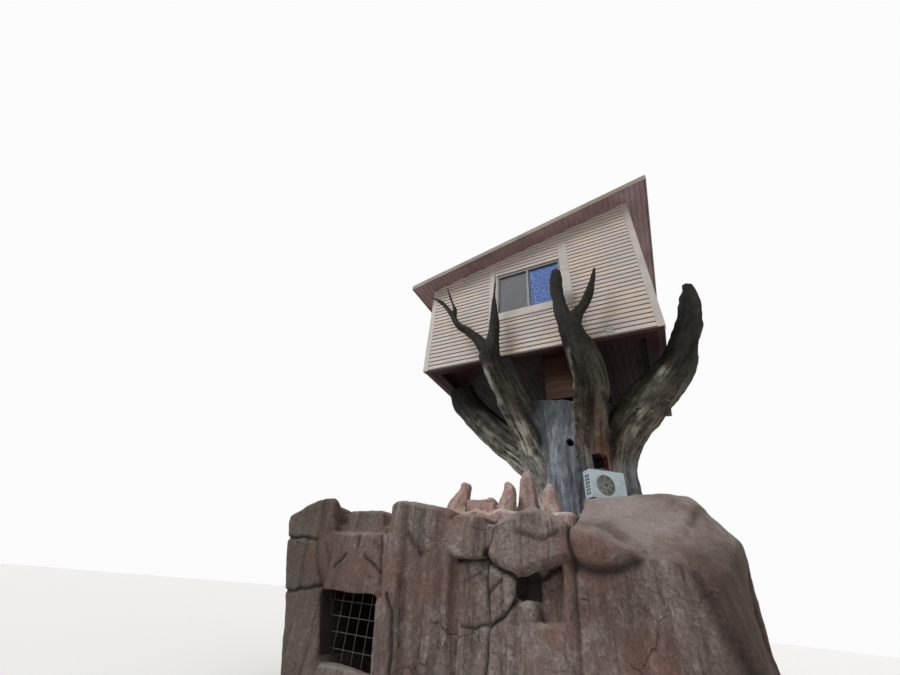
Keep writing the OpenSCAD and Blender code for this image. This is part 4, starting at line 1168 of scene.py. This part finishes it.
print("courses up to the low side's top:", int(low_side_h / COURSE) + 1)

# %% [markdown]
# ## The four walls
# The boards end at the corner boards, so each wall is shorter than its side by two of them. A
# small function places a wall's flat layout on its own side of the cabin. The front and the back
# follow the roof's slope, and the low and the high side end level.

# %% Clad the four walls
CORNER_BOARD = 0.11
sill_h, window_h = 1.21, 1.25
window_low, window_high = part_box("window_frame")
opening = (window_low.x - left_x - CORNER_BOARD, window_low.z - cabin_z,
           window_high.x - left_x - CORNER_BOARD, sill_h + window_h)
front_run = right_x - left_x - 2 * CORNER_BOARD
side_run = wall_back_y - front_y - 2 * CORNER_BOARD


def roof_height(x):
    return low_side_h + slope * (x - left_x) - 0.004


lapped_wall("front_boards", front_run, lambda s: roof_height(left_x + CORNER_BOARD + s),
            lambda s, off, z: (left_x + CORNER_BOARD + s, front_y - off, cabin_z + z), 3, opening)
lapped_wall("back_boards", front_run, lambda s: roof_height(right_x - CORNER_BOARD - s),
            lambda s, off, z: (right_x - CORNER_BOARD - s, wall_back_y + off, cabin_z + z), 4)
lapped_wall("left_boards", side_run, lambda s: roof_height(left_x) - 0.004,
            lambda s, off, z: (left_x - off, wall_back_y - CORNER_BOARD - s, cabin_z + z), 5)
lapped_wall("right_boards", side_run, lambda s: roof_height(right_x),
            lambda s, off, z: (right_x + off, front_y + CORNER_BOARD + s, cabin_z + z), 6)

# %% [markdown]
# ## Softened timber
# A sawn edge is never sharp: it is eased by the plane and catches a line of light. The frame's own
# solids are copied and given a small bevel. The copy gets flat coordinates from each face's own
# direction, so that the grain runs the long way of the piece.

# %% Copy a frame node with eased edges
def grain_uv(mesh, long_axis):
    layer = mesh.uv_layers.new(name="board")
    places = np.array([vertex.co for vertex in mesh.vertices])
    run = int(np.argmax(np.ptp(places, axis=0))) if long_axis is None else long_axis
    for polygon in mesh.polygons:
        flat = int(np.argmax(np.abs(polygon.normal)))
        across = next(i for i in (2, 1, 0) if i not in (run, flat)) if flat != run else (run + 1) % 3
        for loop in polygon.loop_indices:
            co = mesh.vertices[mesh.loops[loop].vertex_index].co
            layer.data[loop].uv = (co[run], co[across] + 5.3 * flat)


def eased(node, material, width=0.004, long_axis=None):
    made = as_object(node + "_eased", nodes[node].data.copy(), material)
    ease = made.modifiers.new("ease", "BEVEL")
    ease.width = width
    ease.segments = 2
    ease.limit_method = "ANGLE"
    ease.angle_limit = math.radians(40)
    mesh = applied(made)
    mesh.materials.clear()
    mesh.materials.append(material)
    while mesh.uv_layers:
        mesh.uv_layers.remove(mesh.uv_layers[0])
    grain_uv(mesh, long_axis)
    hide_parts(node)
    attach(made, "building")
    print(made.name, "faces:", len(mesh.polygons))
    return made


eased("corner_boards", trim, 0.003, 2)

# %% [markdown]
# The window's surround is painted timber outside and dark metal inside, where the panes run. It is
# one solid in the frame, so the faces nearest the panes simply get a second material.

# %% The window's surround
surround = eased("window_frame", trim, 0.003, 0)
surround.data.materials.append(aluminium)
RAIL_REACH = 0.041
pane_low, pane_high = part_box("mesh_pane")[0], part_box("curtain_pane")[1]
for polygon in surround.data.polygons:
    at = polygon.center
    level = pane_low.z - RAIL_REACH < at.z < pane_high.z + RAIL_REACH
    if level and pane_low.x - RAIL_REACH < at.x < pane_high.x + RAIL_REACH:
        polygon.material_index = 1
print("faces in metal:", sum(polygon.material_index for polygon in surround.data.polygons))

# %% [markdown]
# The fascia's grain runs along x, the floor frame's runs along its longest side, and the
# outdoor unit's case is pressed sheet, whose folded edges are rounded in the same way.

# %% Fascia, floor frame and the unit's case
eased("roof_fascia", weathered, 0.004, 0)
# The floor frame takes the under-floor stain, darkened as painted shade.
eased("floor_frame", shade_stain, 0.006)
eased("unit_case", enamel, 0.004)

# %% [markdown]
# ## Grooved boarding
# The roof's underside and the floor's underside are tongue-and-groove boards. Such boarding is a
# flat panel with a small V at every joint, so its section is drawn once, notches and all, and
# pushed through the length of the building. That keeps it a single closed solid.

# %% Panels with notched joints
NOTCH_HALF, NOTCH_DEEP = 0.006, 0.009


def grooved(name, node, material, pitch, thick, rise=0.0):
    low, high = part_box(node)
    start, end = low.x, high.x
    count = int(round((end - start) / pitch))
    section = [(start, 0.0)]
    for k in range(1, count):
        s = start + k * (end - start) / count
        section += [(s - NOTCH_HALF, 0.0), (s, NOTCH_DEEP), (s + NOTCH_HALF, 0.0)]
    section += [(end, 0.0), (end, thick), (start, thick)]
    shape = bmesh.new()
    uv = shape.loops.layers.uv.new("board")
    rings = [[shape.verts.new((s, y, low.z + up + (s - start) * rise)) for s, up in section]
             for y in (low.y, high.y)]
    for face in strip(shape, rings):
        board = int((face.calc_center_median().x - start) / pitch)
        for loop in face.loops:
            loop[uv].uv = (loop.vert.co.y + board * 3.3, loop.vert.co.x + loop.vert.co.z)
    made = as_object(name, mesh_of(shape, name), material)
    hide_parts(node)
    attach(made, "building")
    print(name, "joints:", count - 1)


floor_low, floor_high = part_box("floor_deck")
grooved("roof_boarding", "roof_deck", stain, 0.12, 0.105, slope)
# The floor's boarding takes the same stain, darkened as painted shade.
grooved("floor_boarding", "floor_deck", shade_stain, 0.14, floor_high.z - floor_low.z)

# %% [markdown]
# ## Seams of the roof sheet
# From above a roof of sheet shows raised seams that run down the slope, where one sheet is folded
# over the next. The photo doesn't show the top of the roof, so their spacing is a usual one. Each
# seam is a low bar, narrower at the top, made from eight points and set along the slope.

# %% Raise the seams
def roof_seams(node, count, foot=0.018, crown=0.008, rise=0.026, sunk=0.004, short=0.012):
    low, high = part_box(node)
    shape = bmesh.new()
    section = [(-foot, -sunk), (-crown, rise), (crown, rise), (foot, -sunk)]
    for k in range(1, count):
        y = low.y + k * (high.y - low.y) / count
        ends = [(x, high.z - (high.x - x) * slope) for x in (low.x + short, high.x - short)]
        strip(shape, [[shape.verts.new((x, y + off, z + up)) for off, up in section] for x, z in ends])
    made = as_object("roof_seams", mesh_of(shape, "roof_seams"), roof_metal)
    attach(made, "building")
    print("seams on the roof:", len(made.data.polygons) // 6)


roof_seams("roof_sheet", 12)

# %% [markdown]
# ## The boarded shaft
# The shaft's boards run level round its four sides. Each course is a square ring with a chamfer
# above and below, and neighbouring courses leave a thin dark joint where the chamfers meet.

# %% Courses of the shaft
def inset(low, high, by):
    return [(low[0] + by, low[1] + by), (high[0] - by, low[1] + by),
            (high[0] - by, high[1] - by), (low[0] + by, high[1] - by)]


def shaft_courses(count, wall=0.04, chamfer=0.006, joint=0.0005):
    low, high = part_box("shaft_box")
    rise = (high.z - low.z) / count
    chance = random.Random(8)
    shape = new_boards()
    uv = shape.loops.layers.uv["board"]
    tone = shape.verts.layers.float["tone"]
    for course in range(count):
        z0 = low.z + course * rise
        shade = chance.random()
        shift = chance.uniform(0, 30)
        levels = [(chamfer, z0 + joint), (0.0, z0 + chamfer), (0.0, z0 + rise - chamfer),
                  (chamfer, z0 + rise - joint), (wall, z0 + rise - joint), (wall, z0 + joint)]
        rings = [[shape.verts.new((x, y, z)) for x, y in inset(low.xy, high.xy, by)] for by, z in levels]
        for number, face in enumerate(strip(shape, rings, True)):
            for loop in face.loops:
                co = loop.vert.co
                loop[uv].uv = (co.x + co.y + shift + 3 * (number % 4), co.z)
                loop.vert[tone] = shade
    # The oil finish is darkened as painted shade under the floor.
    made = as_object("shaft_boards", mesh_of(shape, "shaft_boards"), oil_and_painted_shade)
    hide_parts("shaft_box")
    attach(made, "building")
    print("shaft courses:", count)


shaft_courses(8)

# %% [markdown]
# ## Finishes of the carried-over nodes
# What the frame already shapes right stays as it is and only takes its finish: the walls behind
# the boards, the panes, the roof sheet, the grille's wires, and the coil, guard and fan of the
# outdoor unit.

# %% Dress the nodes that stay
# The walls behind the boards take the wall's edge stain, darkened as painted shade where they show under the
# roof.
stays = {
    "front_wall": wall_shade_stain, "back_wall": wall_shade_stain, "left_wall": wall_shade_stain, "right_wall": wall_shade_stain,
    "mesh_pane": insect_mesh, "curtain_pane": blue_film, "roof_sheet": roof_metal, "den_grille": zinc,
    "unit_coil": enamel, "unit_guard": pale_wire, "unit_fan": fan_grey,
}
for node, material in stays.items():
    for holder in nodes[node].material_slots:
        holder.material = material
print("carried over:", len(stays))

# %% [markdown]
# ## Small pieces on the wall
# A bare metal plate is screwed to the lowest course, and the window's panes sit in slim sashes. A
# sash is a square ring of four sections round its pane, a little proud of it, with eased edges.

# %% Plate and sashes
plate = block("bare_plate", (1.05, front_y - 0.03, 5.96), (1.19, front_y - 0.018, 6.08), roof_metal)
ease = plate.modifiers.new("ease", "BEVEL")
ease.width = 0.004
ease.segments = 2
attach(plate, "building")


def sash(name, node, rail=0.022, proud=0.02, sunk=0.002, ease=0.002):
    low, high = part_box(node)
    shape = bmesh.new()
    front, back = low.y - proud, low.y + sunk
    rings = [[shape.verts.new((x, y, z)) for x, z in inset(low.xz, high.xz, by)]
             for by, y in ((0, front), (rail, front), (rail, back), (0, back))]
    strip(shape, rings, True)
    bmesh.ops.recalc_face_normals(shape, faces=shape.faces)
    bmesh.ops.bevel(shape, geom=shape.edges[:], offset=ease, segments=1, affect="EDGES")
    made = as_object(name, mesh_of(shape, name), aluminium)
    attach(made, "building")
    print(name, "faces:", len(made.data.polygons))


sash("left_sash", "mesh_pane")
sash("right_sash", "curtain_pane")

# %% [markdown]
# ## Floor and background
# The stage is a plain pale floor. The world shows almost white to the camera and in reflections
# only, and for everything else it keeps its real, lower strength, so that the object isn't washed
# out by it.

# %% Stage
SKY_LIGHT, SKY_SEEN = 0.45, 0.97
floor_material, floor_shader = blank("pale floor")
floor_shader.inputs["Base Color"].default_value = paint("E6E5E2")
floor_shader.inputs["Roughness"].default_value = 0.9
floor = block("floor", (-60, -60, -0.05), (60, 60, -0.001), floor_material)
floor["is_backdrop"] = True
world = bpy.data.worlds.new("studio")
bpy.context.scene.world = world
world.use_nodes = True
background = world.node_tree.nodes["Background"]
background.inputs["Color"].default_value = (1.0, 1.0, 1.0, 1.0)
path = add(world, "LightPath")
seen = add(world, "Math", {0: path["Is Camera Ray"], 1: path["Is Glossy Ray"]}, operation="MAXIMUM")[0]
strength = add(world, "MapRange", {0: seen, 3: SKY_LIGHT, 4: SKY_SEEN})[0]
world.node_tree.links.new(strength, background.inputs["Strength"])
print("the floor's size:", floor.dimensions.to_tuple(2))

# %% [markdown]
# ## Light
# Three suns, softened by their wide angle: the key from the front and above on the left, a weak
# fill from the right, and one from behind that lights the back views. They are as strong as makes
# a colour render about as it is written.

# %% Lamps
def soft_lamp(name, aim, spread, strength):
    lamp = bpy.data.lights.new(name, "SUN")
    lamp.angle = math.radians(spread)
    lamp.energy = strength
    made = bpy.data.objects.new(name, lamp)
    bpy.context.scene.collection.objects.link(made)
    made.matrix_world = Vector(aim).to_track_quat("-Z", "Y").to_matrix().to_4x4()
    print(name, "lamp:", strength, "strong,", spread, "degrees wide")


soft_lamp("key", (0.5, 0.75, -0.75), 30, 2.25)
soft_lamp("side fill", (-0.9, 0.5, -0.35), 60, 0.35)
soft_lamp("back", (-0.1, -0.9, -0.5), 40, 0.7)

# %% [markdown]
# ## Camera
# The camera stands where the photographer stood: at eye height, close to the rock, tilted up, with
# a very wide lens. Its place and its three angles, in degrees, were worked out from the cabin's
# straight edges. An angle of 90 would look level, so the lens points 35 degrees up.

# %% Camera at eye level
camera = bpy.data.cameras.new("eye level")
camera.lens = 14.4
camera.sensor_width = 36
eye = (1.3, -8.4, 1.6)
tilt, roll, pan = 90 + 35.2721, -4.9589, 27.5414
turn = Euler([math.radians(angle) for angle in (tilt, roll, pan)]).to_matrix()
viewer = bpy.data.objects.new("eye level", camera)
bpy.context.scene.collection.objects.link(viewer)
viewer.matrix_world = Matrix.Translation(eye) @ turn.to_4x4()
bpy.context.scene.camera = viewer
bpy.context.scene.view_settings.view_transform = "Standard"
print("lens:", round(camera.lens, 2), "mm on a sensor of", camera.sensor_width, "mm")

# %% [markdown]
# ## Measure
# The triangles of every shown piece are counted, and the four pieces with the most are printed.

# %% Finish
faces = {piece.name: sum(len(p.vertices) - 2 for p in piece.data.polygons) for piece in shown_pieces()}
print("triangles:", sum(faces.values()), "most:", sorted(faces.items(), key=lambda item: -item[1])[:4])
